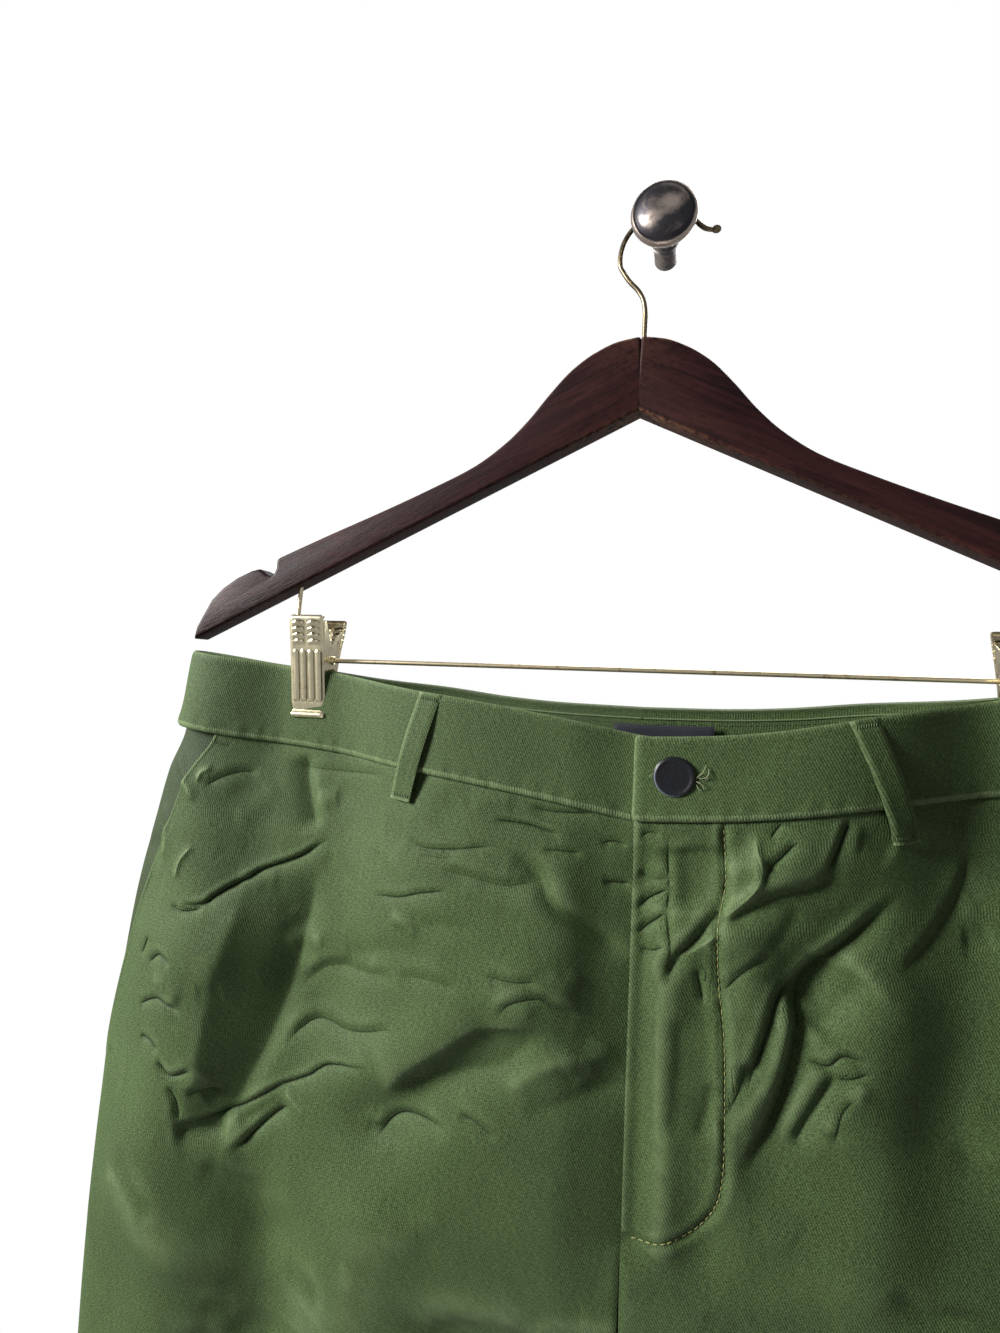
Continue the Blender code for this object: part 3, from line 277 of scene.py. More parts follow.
# Creases: face, places along it (x from the centre, z), half width on its upper or left side and on the other,
# height (a trough is below 0), and how much of an opposite fold lies beside it.
creases = (
    # the sharp crease from the right clip down to the pocket, the streak above it and the long valley under it
    (front, ((-142.5, -283), (-149, -286.5), (-158.5, -292.5), (-168, -296.5), (-176.5, -300), (-182, -303.5),
             (-189, -307.5), (-194.5, -311), (-198.5, -314), (-201.5, -316.5), (-208, -317.5),
             (-216, -317.5)), 1.1, 2.6, -2.0, 0.25),
    (front, ((-161.5, -243.5), (-157.5, -261.5), (-150.5, -281)), 7.0, 3.0, -3.4, 0.0),
    (front, ((-149, -292.5), (-150, -307.5), (-153, -326.5), (-156, -343), (-160.5, -359.5), (-167, -378),
             (-175, -395), (-182.5, -409.5), (-191.5, -420.5), (-201, -431)), 14.0, 5.0, -4.8, 0.0),
    (front, ((-181, -305), (-188, -328), (-194, -353), (-198, -377), (-201.5, -398.5),
             (-207.5, -412.5)), 10.0, 12.0, 3.0, 0.0),
    # crumples by the pocket mouth and the side
    (front, ((-232.5, -247), (-221.5, -257.5), (-212, -269.5)), 2.4, 2.6, 1.4, 0.0),
    (front, ((-237.5, -271.5), (-228, -285), (-228.5, -299.5)), 3.0, 2.4, 1.2, 0.0),
    (front, ((-219.5, -318.5), (-212, -321), (-201, -319)), 1.4, 2.0, -1.1, 0.2),
    (front, ((-230, -348), (-222.5, -342.5), (-214, -346)), 1.6, 2.0, -1.2, 0.2),
    (front, ((-236, -369.5), (-223.5, -363.5), (-214.5, -365), (-207, -367)), 1.6, 2.2, -1.3, 0.2),
    (front, ((-233, -383), (-226, -383.5), (-219, -387.5)), 1.6, 2.2, -1.4, 0.2),
    (front, ((-220, -390.5), (-211.5, -397), (-200, -392)), 1.7, 2.4, -1.6, 0.3),
    (front, ((-213, -401.5), (-208.5, -408), (-207, -418)), 2.0, 2.2, -1.2, 0.2),
    (front, ((-204, -405.5), (-195.5, -402), (-187.5, -404.5)), 2.0, 2.4, -1.0, 0.2),
    (front, ((-206, -253), (-210.5, -255), (-212, -260)), 1.5, 1.8, 1.0, 0.0),
    (front, ((-209, -262.5), (-201, -257.5), (-191.5, -254.5), (-183.5, -255.5)), 2.2, 2.6, -0.9, 0.2),
    (front, ((-210.5, -290), (-217, -298), (-219, -307.5)), 1.6, 1.6, 0.9, 0.0),
    (front, ((-232, -335.5), (-236.5, -346)), 1.6, 1.8, -1.0, 0.0),
    (front, ((-164.5, -250.5), (-142.5, -251.5), (-113, -250.5)), 1.8, 2.2, -0.5, 0.2),
    # across the right front
    (front, ((-109.5, -377.5), (-123, -381.5), (-134.5, -384), (-140.5, -387.5), (-143.5, -390),
             (-152.5, -394.5), (-160, -398), (-169, -404), (-176.5, -409), (-183.5, -412.5), (-197, -417),
             (-210, -421)), 1.2, 2.6, -1.6, 0.3),
    (front, ((-153, -405), (-164.5, -414), (-176, -425.5), (-180.5, -431)), 1.6, 2.6, -2.2, 0.3),
    (front, ((-157.5, -399.5), (-151, -404), (-144, -408.5)), 1.2, 1.4, 0.5, 0.0),
    (front, ((-154.5, -403), (-168.5, -411.5), (-181, -418.5)), 4.0, 5.0, -1.6, 0.0),
    (front, ((-209.5, -424.5), (-197, -421.5), (-183, -422)), 5.0, 6.0, -3.0, 0.0),
    (front, ((-139.5, -346.5), (-122, -332.5), (-99.5, -325), (-79.5, -326)), 6.0, 8.0, -1.2, 0.0),
    (front, ((-156, -355.5), (-150, -349.5), (-142, -343), (-131, -340), (-120.5, -340),
             (-100, -337)), 2.8, 4.0, -1.4, 0.2),
    (front, ((-159, -380), (-152.5, -372.5), (-143, -366.5), (-128, -367.5), (-116, -365),
             (-98.5, -358)), 2.4, 3.6, -1.7, 0.2),
    (front, ((-59.5, -264), (-49.5, -264.5), (-41, -265.5), (-28.5, -268.5)), 1.1, 1.8, -1.1, 0.3),
    (front, ((-99, -274.5), (-92.5, -278.5), (-80, -278.5), (-64, -276), (-55.5, -274.5)), 1.5, 2.0, -0.7, 0.2),
    (front, ((-93, -282.5), (-75.5, -282)), 1.4, 1.8, -0.3, 0.0),
    (front, ((-81.5, -286.5), (-67.5, -288.5), (-54, -290.5), (-45.5, -289.5), (-34, -286)), 2.6, 3.6, -1.2, 0.2),
    (front, ((-37, -274.5), (-29, -274.5), (-20, -275)), 1.5, 1.8, -0.7, 0.2),
    (front, ((-116, -304), (-101, -302), (-90.5, -298.5), (-75.5, -295)), 1.5, 2.2, -0.9, 0.2),
    (front, ((-50, -278), (-38, -285), (-33.5, -294), (-27.5, -299.5), (-16, -304.5), (-8, -309.5),
             (0.5, -315.5)), 3.2, 5.0, -2.9, 0.0),
    (front, ((-12, -286), (0, -286)), 1.4, 2.0, -1.1, 0.0),
    (front, ((-43.5, -257), (-33, -259), (-14, -258)), 2.2, 3.0, -1.2, 0.0),
    (front, ((-13.5, -271), (-9, -269.5), (-2, -270.5)), 1.6, 2.0, -0.8, 0.0),
    (front, ((-100.5, -336), (-84, -334.5), (-69, -336)), 2.6, 3.6, -0.9, 0.2),
    (front, ((-58, -327), (-45.5, -328), (-35, -326.5)), 2.2, 3.2, -1.0, 0.2),
    (front, ((-104.5, -317), (-80, -310), (-62, -310.5)), 4.0, 5.0, -0.8, 0.0),
    (front, ((-53, -343.5), (-46.5, -336.5), (-35, -333.5), (-28.5, -336), (-18, -340.5)), 2.0, 2.6, -1.0, 0.3),
    (front, ((-108.5, -389.5), (-92.5, -373.5), (-78.5, -362), (-65.5, -351.5), (-52, -346.5),
             (-34, -344.5)), 12.0, 3.4, 2.4, 0.0),
    (front, ((-101.5, -388), (-88.5, -380), (-74.5, -374), (-61, -369.5), (-49, -364), (-40.5, -354.5),
             (-30.5, -345)), 6.0, 7.0, -2.2, 0.0),
    (front, ((-52, -376.5), (-38.5, -366), (-26, -358), (-14.5, -355.5), (0.5, -353)), 9.0, 4.0, 1.4, 0.0),
    (front, ((-42, -383.5), (-25.5, -375.5), (-10, -368.5), (1.5, -363)), 6.0, 7.0, -1.3, 0.0),
    (front, ((-108, -410), (-101.5, -400.5), (-94.5, -396), (-85.5, -395.5), (-73, -397.5)), 2.0, 3.0, -1.6, 0.3),
    (front, ((-69, -388.5), (-59.5, -391), (-51.5, -395.5)), 2.0, 2.6, -1.1, 0.2),
    # the fly
    (front, ((14.5, -262.5), (14, -272.5), (15, -286), (14.5, -295.5), (16, -309),
             (14, -323)), 2.1, 3.2, -1.3, 0.0),
    (front, ((20, -266.5), (22, -281.5), (23, -295)), 9.0, 12.0, -2.4, 0.0),
    (front, ((14, -322), (14, -352.5), (14.5, -384.5)), 3.0, 1.5, 0.35, 0.0),
    (front, ((2, -295.5), (7.5, -290.5), (14.5, -286)), 1.7, 2.4, -1.3, 0.3),
    (front, ((2.5, -305), (8.5, -300), (14.5, -294.5)), 1.6, 2.2, -1.1, 0.3),
    (front, ((4, -310.5), (9, -311), (14, -308)), 1.6, 2.0, -0.8, 0.0),
    (front, ((1.5, -280), (9, -283), (15, -281)), 2.5, 3.0, -1.3, 0.0),
    (front, ((2.5, -266.5), (6.5, -264), (11, -265)), 1.8, 2.2, -0.7, 0.0),
    (front, ((36.5, -287.5), (29.5, -299.5), (23.5, -307.5), (19.5, -312), (16, -319),
             (14.5, -325)), 2.4, 2.0, -2.4, 0.3),
    (front, ((36, -299), (24.5, -309), (17.5, -313)), 1.4, 1.6, 0.8, 0.0),
    (front, ((26, -315), (28, -322), (29.5, -329.5)), 1.7, 2.0, -1.1, 0.0),
    (front, ((21, -332), (20.5, -359), (19.5, -383.5)), 5.0, 5.0, -1.2, 0.0),
    # the left front
    (front, ((47, -259.5), (47.5, -267), (49.5, -273.5), (49, -278), (46, -283), (41.5, -288),
             (33.5, -296.5)), 1.6, 1.6, 1.7, 0.0),
    (front, ((34.5, -298), (43.5, -291.5), (54.5, -285), (65.5, -282), (72, -279),
             (79, -270.5)), 3.0, 5.0, -2.6, 0.2),
    (front, ((82, -252), (78, -263), (73.5, -274.5)), 1.6, 2.4, -1.7, 0.2),
    (front, ((63, -262.5), (56, -270), (51.5, -274.5), (49.5, -281.5)), 1.6, 2.2, -1.5, 0.2),
    (front, ((57, -256), (52.5, -263)), 1.6, 2.0, -0.9, 0.0),
    (front, ((103, -280), (89, -293.5), (79.5, -302.5), (70.5, -310.5), (65.5, -317.5), (63.5, -325),
             (64, -335.5), (61.5, -350.5), (57, -366), (51, -380.5), (46.5, -393)), 2.4, 3.4, -3.2, 0.3),
    (front, ((64.5, -314.5), (57, -323.5), (53.5, -335.5), (49.5, -349), (46, -360.5)), 2.0, 2.0, -2.4, 0.2),
    (front, ((61.5, -321), (59, -335.5), (55, -351), (48.5, -364.5), (42.5, -378.5)), 4.0, 3.5, 1.8, 0.0),
    (front, ((90.5, -312.5), (80, -323), (69.5, -336.5)), 12.0, 7.0, -3.2, 0.0),
    (front, ((77.5, -307.5), (72, -317), (67.5, -327)), 9.0, 7.0, -2.4, 0.0),
    (front, ((46, -346), (44, -358), (38.5, -372)), 2.4, 2.6, -1.7, 0.0),
    (front, ((35, -357), (32, -369), (29.5, -382.5)), 3.0, 3.0, -1.5, 0.0),
    (front, ((55, -306.5), (44.5, -314), (35.5, -324.5)), 2.0, 2.6, -1.0, 0.2),
    (front, ((64, -286.5), (60.5, -294.5), (53.5, -307)), 3.0, 3.4, -0.8, 0.0),
    (front, ((79.5, -347), (73.5, -358.5), (68, -369), (63.5, -379.5)), 2.6, 3.0, -2.6, 0.3),
    (front, ((89.5, -350.5), (82.5, -360), (76.5, -372.5)), 3.0, 3.0, 1.4, 0.0),
    (front, ((67.5, -345), (75.5, -346.5), (81, -342), (90, -343.5)), 1.5, 2.0, -1.1, 0.2),
    (front, ((78, -350), (83, -350), (90, -347)), 1.5, 1.8, -0.8, 0.0),
    (front, ((85.5, -355.5), (80.5, -363), (78, -374.5)), 2.4, 3.0, -1.6, 0.0),
    # the groove of the fly's stitching
    (front, ((35.5, -215), (35.2, -260.5), (36.4, -280.6), (33.8, -299), (34.9, -321), (37.3, -340.2), (38.5, -373.2),
             (38.2, -393), (36, -405), (30.5, -414), (21.5, -420.5), (12, -423.5), (0, -424.5)), 1.3, 1.3, -0.7, 0.2),
    # beyond the photo: the left front, whiskers out of the crotch, and the legs
    (front, ((-196, -436), (-178, -444), (-160, -446)), 3.4, 6.0, -1.2, 0.17),
    (front, ((-240, -438), (-228, -452), (-214, -460)), 3.6, 6.6, -1.1, 0.17),
    (front, ((146, -243), (146, -258), (145, -276)), 3.6, 6.6, -1.7, 0.17),
    (front, ((130, -262), (124, -282), (112, -300), (100, -312)), 2.6, 5.4, -1.6, 0.17),
    (front, ((160, -262), (166, -286), (176, -306), (192, -318)), 3.0, 6.0, -1.4, 0.17),
    (front, ((198, -252), (206, -259), (212, -266)), 2.2, 3.3, -0.9, 0.21),
    (front, ((184, -262), (196, -268), (208, -270)), 2.6, 3.6, 0.8, 0.17),
    (front, ((214, -330), (226, -336), (238, -334)), 2.6, 4.8, -1.1, 0.17),
    (front, ((150, -338), (164, -346), (180, -346), (196, -354)), 2.8, 6.0, -1.3, 0.17),
    (front, ((118, -372), (134, -380), (152, -378), (170, -388)), 3.0, 6.0, -1.4, 0.17),
    (front, ((190, -390), (208, -398), (226, -400)), 2.8, 5.4, -1.1, 0.17),
    (front, ((96, -420), (112, -430), (130, -430), (150, -440)), 3.2, 6.6, -1.3, 0.17),
    (front, ((176, -430), (196, -440), (222, -444)), 3.4, 6.0, -1.1, 0.17),
    (front, ((-6, -470), (-30, -478), (-58, -476), (-88, -486)), 3.6, 7.5, -1.7, 0.17),
    (front, ((-8, -488), (-26, -500), (-52, -508)), 3.4, 6.9, -1.3, 0.17),
    (front, ((6, -472), (28, -480), (54, -480), (84, -492)), 3.6, 7.5, -1.7, 0.17),
    (front, ((8, -490), (26, -504), (50, -514)), 3.4, 6.9, -1.3, 0.17),
    (front, ((-120, -500), (-142, -508), (-166, -506), (-184, -514)), 3.6, 6.9, -1.3, 0.17),
    (front, ((-200, -540), (-222, -548), (-240, -546)), 3.6, 6.9, -1.1, 0.17),
    (front, ((-70, -560), (-92, -568), (-118, -566)), 4.0, 7.5, -1.2, 0.17),
    (front, ((-130, -610), (-150, -622), (-176, -626)), 4.0, 7.5, -1.2, 0.17),
    (front, ((-30, -640), (-50, -634), (-72, -640)), 4.0, 7.5, -0.9, 0.17),
    (front, ((128, -520), (150, -530), (174, -528)), 3.6, 7.5, -1.3, 0.17),
    (front, ((196, -560), (218, -566), (240, -562)), 3.6, 6.9, -1.1, 0.17),
    (front, ((70, -580), (94, -590), (120, -586)), 4.0, 7.5, -1.2, 0.17),
    (front, ((136, -640), (158, -648), (184, -646)), 4.0, 7.5, -1.1, 0.17),
    (front, ((34, -660), (52, -652), (76, -658)), 4.0, 7.5, -0.9, 0.17),
    # the seat and the backs of the legs
    (back, ((-150, -246), (-152, -262), (-148, -280)), 4.0, 6.0, -1.4, 0.17),
    (back, ((150, -246), (149, -264), (152, -284)), 4.0, 6.0, -1.4, 0.17),
    (back, ((-134, -276), (-110, -290), (-86, -296), (-62, -294)), 3.0, 6.6, -1.4, 0.17),
    (back, ((132, -280), (112, -296), (88, -304), (60, -302)), 3.0, 6.6, -1.4, 0.17),
    (back, ((-180, -300), (-160, -316), (-136, -326)), 3.0, 6.3, -1.3, 0.17),
    (back, ((184, -306), (160, -322), (134, -330)), 3.0, 6.3, -1.3, 0.17),
    (back, ((-100, -340), (-72, -352), (-40, -350), (-14, -358)), 3.4, 6.9, -1.4, 0.17),
    (back, ((104, -346), (74, -360), (44, -358), (14, -366)), 3.4, 6.9, -1.4, 0.17),
    (back, ((-220, -350), (-200, -362), (-176, -366)), 3.2, 6.3, -1.2, 0.17),
    (back, ((222, -344), (204, -356), (182, -358)), 3.2, 6.3, -1.2, 0.17),
    (back, ((-150, -384), (-122, -394), (-96, -392)), 3.4, 7.2, -1.3, 0.17),
    (back, ((150, -380), (122, -392), (92, -394)), 3.4, 7.2, -1.3, 0.17),
    (back, ((-8, -424), (-34, -432), (-66, -428), (-92, -438)), 3.6, 7.5, -1.6, 0.17),
    (back, ((8, -426), (38, -436), (68, -432), (96, -444)), 3.6, 7.5, -1.6, 0.17),
    (back, ((-6, -452), (-28, -466), (-54, -472)), 3.6, 7.5, -1.6, 0.17),
    (back, ((6, -454), (28, -470), (56, -476)), 3.6, 7.5, -1.6, 0.17),
    (back, ((-200, -450), (-176, -462), (-150, -464)), 3.6, 7.2, -1.3, 0.17),
    (back, ((204, -452), (180, -466), (150, -468)), 3.6, 7.2, -1.3, 0.17),
    (back, ((-120, -540), (-146, -550), (-172, -548)), 4.0, 7.5, -1.2, 0.17),
    (back, ((124, -534), (150, -546), (178, -544)), 4.0, 7.5, -1.2, 0.17),
    (back, ((-60, -600), (-86, -610), (-110, -606)), 4.0, 7.5, -1.1, 0.17),
    (back, ((58, -606), (84, -614), (112, -610)), 4.0, 7.5, -1.1, 0.17),
    (back, ((-190, -640), (-212, -650), (-236, -648)), 4.0, 7.5, -1.0, 0.17),
    (back, ((186, -636), (210, -648), (236, -646)), 4.0, 7.5, -1.0, 0.17),
)
pressed = {
    "point": (1.6, 1.3), "full": 1.7, "ridge": -0.35, "fine": (1.5, 1.6),
    "reach": 4.0, "beside": (2.0, 1.1), "ends": 5.0,
    # the line drawn in a crease, a bump with painted shade in a groove and a painted highlight on a ridge: how far it
    # is looked for, its least depth, how it fades out, and between two creases
    "lookedFor": 6.0, "least": 0.05, "fade": (2.0, 3.0), "fadeEnds": 4.0, "between": 2.4,
}
rumple = {
    "seed": 7, "count": 420, "height": 0.60, "length": (9.0, 26.0), "width": (2.6, 6.5),
    "x": (-262, 262), "z": (-700, -250), "turn": (0.25, 0.6), "bow": 2.5, "beside": 0.4, "point": (2.0, 2.0),
}


def smooth(value):
    value = np.clip(value, 0.0, 1.0)
    return value * value * (3.0 - 2.0 * value)


def mix(a, b, share):
    return a + (b - a) * share


def nearEdge(distance, width):
    return np.exp(-(distance / width) ** 2)


def curveThrough(points, x):
    # smooth curve through (x, value) points in rising order of x, without overshoot
    knots = np.array(points, dtype=float)
    places, values = knots[:, 0], knots[:, 1]
    width = np.diff(places)
    rise = np.diff(values) / width
    slope = np.concatenate(([rise[0]], np.zeros(len(rise) - 1), [rise[-1]]))
    same = np.flatnonzero(rise[:-1] * rise[1:] > 0.0)
    slope[same + 1] = 2.0 * rise[same] * rise[same + 1] / (rise[same] + rise[same + 1])
    x = np.clip(x, places[0], places[-1])
    i = np.clip(np.searchsorted(places, x) - 1, 0, len(width) - 1)
    t = (x - places[i]) / width[i]
    return ((2 * t ** 3 - 3 * t ** 2 + 1) * values[i] + (t ** 3 - 2 * t ** 2 + t) * slope[i] * width[i]
            + (3 * t ** 2 - 2 * t ** 3) * values[i + 1] + (t ** 3 - t ** 2) * slope[i + 1] * width[i])


formCurves = {name: [(level, row[i]) for level, row in form.items()] for i, name in enumerate(formNames)}


def formAt(level):
    return {name: curveThrough(points, level) for name, points in formCurves.items()}


def halfWidth(row):
    return (row["side"] - row["inner"]) / (1.0 + row["closing"])


def acrossOf(row, x):
    return 1.0 - (row["side"] - x) / halfWidth(row)


def seamHeight(face, side, x, row, table=seamHeights):
    # the lap carries the right front's edge over the centre, where the other side's seam goes on
    own = curveThrough(table[face, side], np.abs(x) / row["side"])
    other = curveThrough(table[face, -side], np.abs(x) / row["side"])
    return np.where(x >= 0.0, own, other)


def bandHeight(face, side, x, row):
    return seamHeight(face, side, x, row, bandHeights)


def softPath(points, steps=5):
    # a smooth route through given places
    ends = [np.array(p, dtype=float) for p in points]
    ends = [2 * ends[0] - ends[1]] + ends + [2 * ends[-1] - ends[-2]]
    route = []
    for a, b, c, d in zip(ends, ends[1:], ends[2:], ends[3:]):
        for t in np.linspace(0.0, 1.0, steps, endpoint=False):
            route.append(0.5 * (2 * b + (c - a) * t + (2 * a - 5 * b + 4 * c - d) * t * t
                                + (3 * b - a - 3 * c + d) * t ** 3))
    return np.array(route + [ends[-2]])


def awayFrom(route, x, z):
    # distance to a route, on which side, and how far along it
    best = np.full(x.shape, 1e9)
    hand = np.zeros(x.shape)
    along = np.zeros(x.shape)
    lengths = np.hypot(*np.diff(route, axis=0).T)
    gone = np.concatenate(([0.0], np.cumsum(lengths)))
    for (ax, az), (bx, bz), length, start in zip(route, route[1:], lengths, gone):
        runX, runZ = (bx - ax) / length, (bz - az) / length
        t = np.clip((x - ax) * runX + (z - az) * runZ, 0.0, length)
        away = np.hypot(x - ax - t * runX, z - az - t * runZ)
        nearer = away < best
        best = np.where(nearer, away, best)
        hand = np.where(nearer, runX * (z - az) - runZ * (x - ax), hand)
        along = np.where(nearer, (start + t) / gone[-1], along)
    return best, hand, along


def foldHeight(face, x, z):
    total = np.zeros(x.shape)
    for foldFace, x0, z0, x1, z1, width, height in folds + swells:
        if foldFace == face:
            runX, runZ = x1 - x0, z1 - z0
            t = np.clip(((x - x0) * runX + (z - z0) * runZ) / (runX ** 2 + runZ ** 2), 0.0, 1.0)
            total += height * nearEdge(np.hypot(x - x0 - t * runX, z - z0 - t * runZ), width)
    return total


def rumples():
    # small soft dents all over, between the creases
    dice = np.random.default_rng(rumple["seed"])
    made = []
    for number in range(rumple["count"]):
        face = front if number % 2 else back
        x, z = dice.uniform(*rumple["x"]), dice.uniform(*rumple["z"])
        turn, length = dice.normal(*rumple["turn"]), dice.uniform(*rumple["length"])
        dx, dz = length * math.cos(turn) / 2, length * math.sin(turn) / 2
        width = dice.uniform(*rumple["width"])
        bow = dice.normal(0.0, rumple["bow"])
        made.append((face, ((x - dx, z - dz), (x - bow * 0.3, z + bow), (x + dx, z + dz)), width, width * 1.2,
                     dice.normal(0.0, rumple["height"]), rumple["beside"]))
    return made


def pressedCrease(face, places, before, after, height, beside):
    # a crease is pressed sharp on its upper or left side, which is the left of a route to the right or upwards
    (x0, z0), (x1, z1) = places[0], places[-1]
    if (x1 - x0 if abs(x1 - x0) >= abs(z1 - z0) else z1 - z0) < 0.0:
        places = places[::-1]
    return (face, softPath(places), before, after, height, beside, pressed["point"])


creaseRoutes = [pressedCrease(*row) for row in creases]
creaseRoutes += [(row[0], softPath(row[1], 3), *row[2:], rumple["point"]) for row in rumples()]


def creaseHeight(face, x, z):
    total = np.zeros(x.shape)
    for creaseFace, route, before, after, height, beside, point in creaseRoutes:
        if creaseFace != face:
            continue
        reach = pressed["reach"] * max(before, after)
        low, high = route.min(axis=0) - reach, route.max(axis=0) + reach
        close = np.flatnonzero((x > low[0]) & (x < high[0]) & (z > low[1]) & (z < high[1]))
        if not len(close):
            continue
        away, hand, along = awayFrom(route, x.flat[close], z.flat[close])
        width = np.where(hand > 0.0, before, after)
        share = away / width
        lift = np.exp(-share ** np.where(hand > 0.0, point[0], point[1]))
        lift -= beside * nearEdge(share - pressed["beside"][0], pressed["beside"][1]) * (hand > 0.0)
        total.flat[close] += height * lift * smooth(along * pressed["ends"]) * smooth((1.0 - along) * pressed["ends"])
    return total


def creaseMark(face, x, z):
    # signed distance to the nearest crease (above 0 on its sharp side) and how deep it is there, 0 away from it
    nearest, nextOne = np.full(x.shape, 1e9), np.full(x.shape, 1e9)
    signed, depth = np.full(x.shape, 9.0), np.zeros(x.shape)
    for row in creaseRoutes[:len(creases)]:
        creaseFace, route, sharpSide, height = row[0], row[1], row[2], row[4]
        low, high = route.min(axis=0) - pressed["lookedFor"], route.max(axis=0) + pressed["lookedFor"]
        close = np.flatnonzero((x > low[0]) & (x < high[0]) & (z > low[1]) & (z < high[1]))
        strength = min(max(-height / pressed["full"], pressed["ridge"]), 1.0)
        strength *= 1.0 - smooth((sharpSide - pressed["fine"][0]) / pressed["fine"][1])
        if creaseFace != face or abs(strength) < pressed["least"] or not len(close):
            continue
        away, hand, along = awayFrom(route, x.flat[close], z.flat[close])
        soFar = nearest.flat[close]
        nextOne.flat[close] = np.minimum(nextOne.flat[close], np.maximum(away, soFar))
        ours = away < soFar
        close, away, hand, along = close[ours], away[ours], hand[ours], along[ours]
        nearest.flat[close] = away
        signed.flat[close] = np.where(hand > 0.0, away, -away)
        strength = strength * smooth(along * pressed["fadeEnds"]) * smooth((1.0 - along) * pressed["fadeEnds"])
        depth.flat[close] = strength * (1.0 - smooth((away - pressed["fade"][0]) / pressed["fade"][1]))
    # nothing is drawn halfway between two creases
    return signed, depth * smooth((nextOne - nearest) / pressed["between"])


def clothMiddle(face, side, across, level):
    row = formAt(level)
    x = row["side"] - halfWidth(row) * (1.0 - across)
    seam = seamHeight(face, side, x, row)
    z = np.where(level <= 0.0, seam - level * bandHeight(face, side, x, row), mix(seam, garment["hem"], level))
    power = garment["roundness"]
    bulge = np.maximum(0.0, 1.0 - np.abs(across) ** power) ** (1.0 / power)
    fromClip = np.maximum(0.0, np.abs(x - garment["clipX"][side]) - garment["gripHalf"])
    grip = row["grip"] * nearEdge(fromClip, row["spread"])
    depth = mix(row["front"] if face == front else row["back"], garment["nipped"], grip) * bulge
    calm = smooth((row["side"] - x) / garment["freeEdge"]) * smooth(level / 0.05)
    calm = calm * mix(1.0, smooth((x - row["inner"]) / garment["freeEdge"]), smooth((row["closing"] - 0.4) / 0.6))
    depth = depth + foldHeight(face, side * x, z) * calm * (1.0 - grip)
    y = row["middle"] + face * (np.maximum(depth, 0.0) + garment["gap"] / 2)
    return np.stack([side * x, y, z], axis=-1)


def clothAt(face, side, across, level, proud, creased=True):
    # places on the cloth, proud of the middle of its wall along its own normal, with the creases
    tiny = 1e-5
    across, level, proud = np.broadcast_arrays(np.asarray(across, float), np.asarray(level, float), proud)
    low = -formAt(level)["closing"]
    before = np.where(across - tiny >= low, across - tiny, across)
    after = np.where(across + tiny <= 1.0, across + tiny, across)
    sideways = clothMiddle(face, side, after, level) - clothMiddle(face, side, before, level)
    downward = (clothMiddle(face, side, across, np.minimum(level + tiny, 1.0))
                - clothMiddle(face, side, across, np.maximum(level - tiny, -1.0)))
    outward = np.cross(downward, sideways)
    outward *= -side * face / np.linalg.norm(outward, axis=-1, keepdims=True)
    place = clothMiddle(face, side, across, level)
    lift = np.array(proud, dtype=float)
    if creased:
        row = formAt(level)
        x = row["side"] - halfWidth(row) * (1.0 - across)
        still = smooth(level / 0.012) * smooth((row["side"] - x) / 7.0)
        still *= mix(1.0, smooth((x - row["inner"]) / 9.0), smooth((row["closing"] - 0.3) / 0.5))
        lift += creaseHeight(face, place[..., 0], place[..., 2]) * still
    return place + outward * lift[..., None]


def clothSpots(face, side, x, z, proud):
    # the same, by distance from the centre and height, from a rough level to an exact one
    x, z = np.broadcast_arrays(np.asarray(x, float), np.asarray(z, float))
    level = (garment["seam"] - z) / garment["long"]
    for step in range(6):
        row = formAt(level)
        seam = seamHeight(face, side, x, row)
        level = (seam - z) / np.where(z > seam, bandHeight(face, side, x, row), seam - garment["hem"])
    return clothAt(face, side, acrossOf(formAt(level), x), level, proud)


def inRoom(places):
    return (places + np.array([garment["centreX"], garment["middleY"], 0.0])) * mm


print("form ready,", len(creases), "creases")


# meshes

def select(piece):
    bpy.ops.object.select_all(action="DESELECT")
    piece.select_set(True)
    bpy.context.view_layer.objects.active = piece


def named(piece, name, material, replaces=()):
    piece.name = name
    piece.data.name = name
    piece.data.materials.clear()
    piece.data.materials.append(material)
    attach(piece, "root")
    if replaces:
        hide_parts(*replaces)
    return piece


def applied(piece, kind, **settings):
    select(piece)
    modifier = piece.modifiers.new(kind.lower(), kind)
    for name, value in settings.items():
        setattr(modifier, name, value)
    bpy.ops.object.modifier_apply(modifier=modifier.name)


def rounded(piece, angle=50.0):
    select(piece)
    bpy.ops.object.shade_smooth_by_angle(angle=math.radians(angle))


def settled(piece):
    select(piece)
    bpy.ops.object.transform_apply(location=True, rotation=True, scale=True)


def edited(piece, *steps):
    # runs each step on the whole piece in edit mode
    select(piece)
    bpy.ops.object.mode_set(mode="EDIT")
    for step in steps:
        bpy.ops.mesh.select_all(action="SELECT")
        step()
    bpy.ops.object.mode_set(mode="OBJECT")


def facesTurnedOut():
    bpy.ops.mesh.normals_make_consistent(inside=False)


def newMesh(name, points, faces, edges=()):
    mesh = bpy.data.meshes.new(name)
    mesh.from_pydata([tuple(p) for p in points], list(edges), faces)
    piece = bpy.data.objects.new(name, mesh)
    scene.collection.objects.link(piece)
    return piece


def setMark(piece, name, values):
    piece.data.attributes.new(name, "FLOAT", "POINT").data.foreach_set("value", np.asarray(values, np.float32))


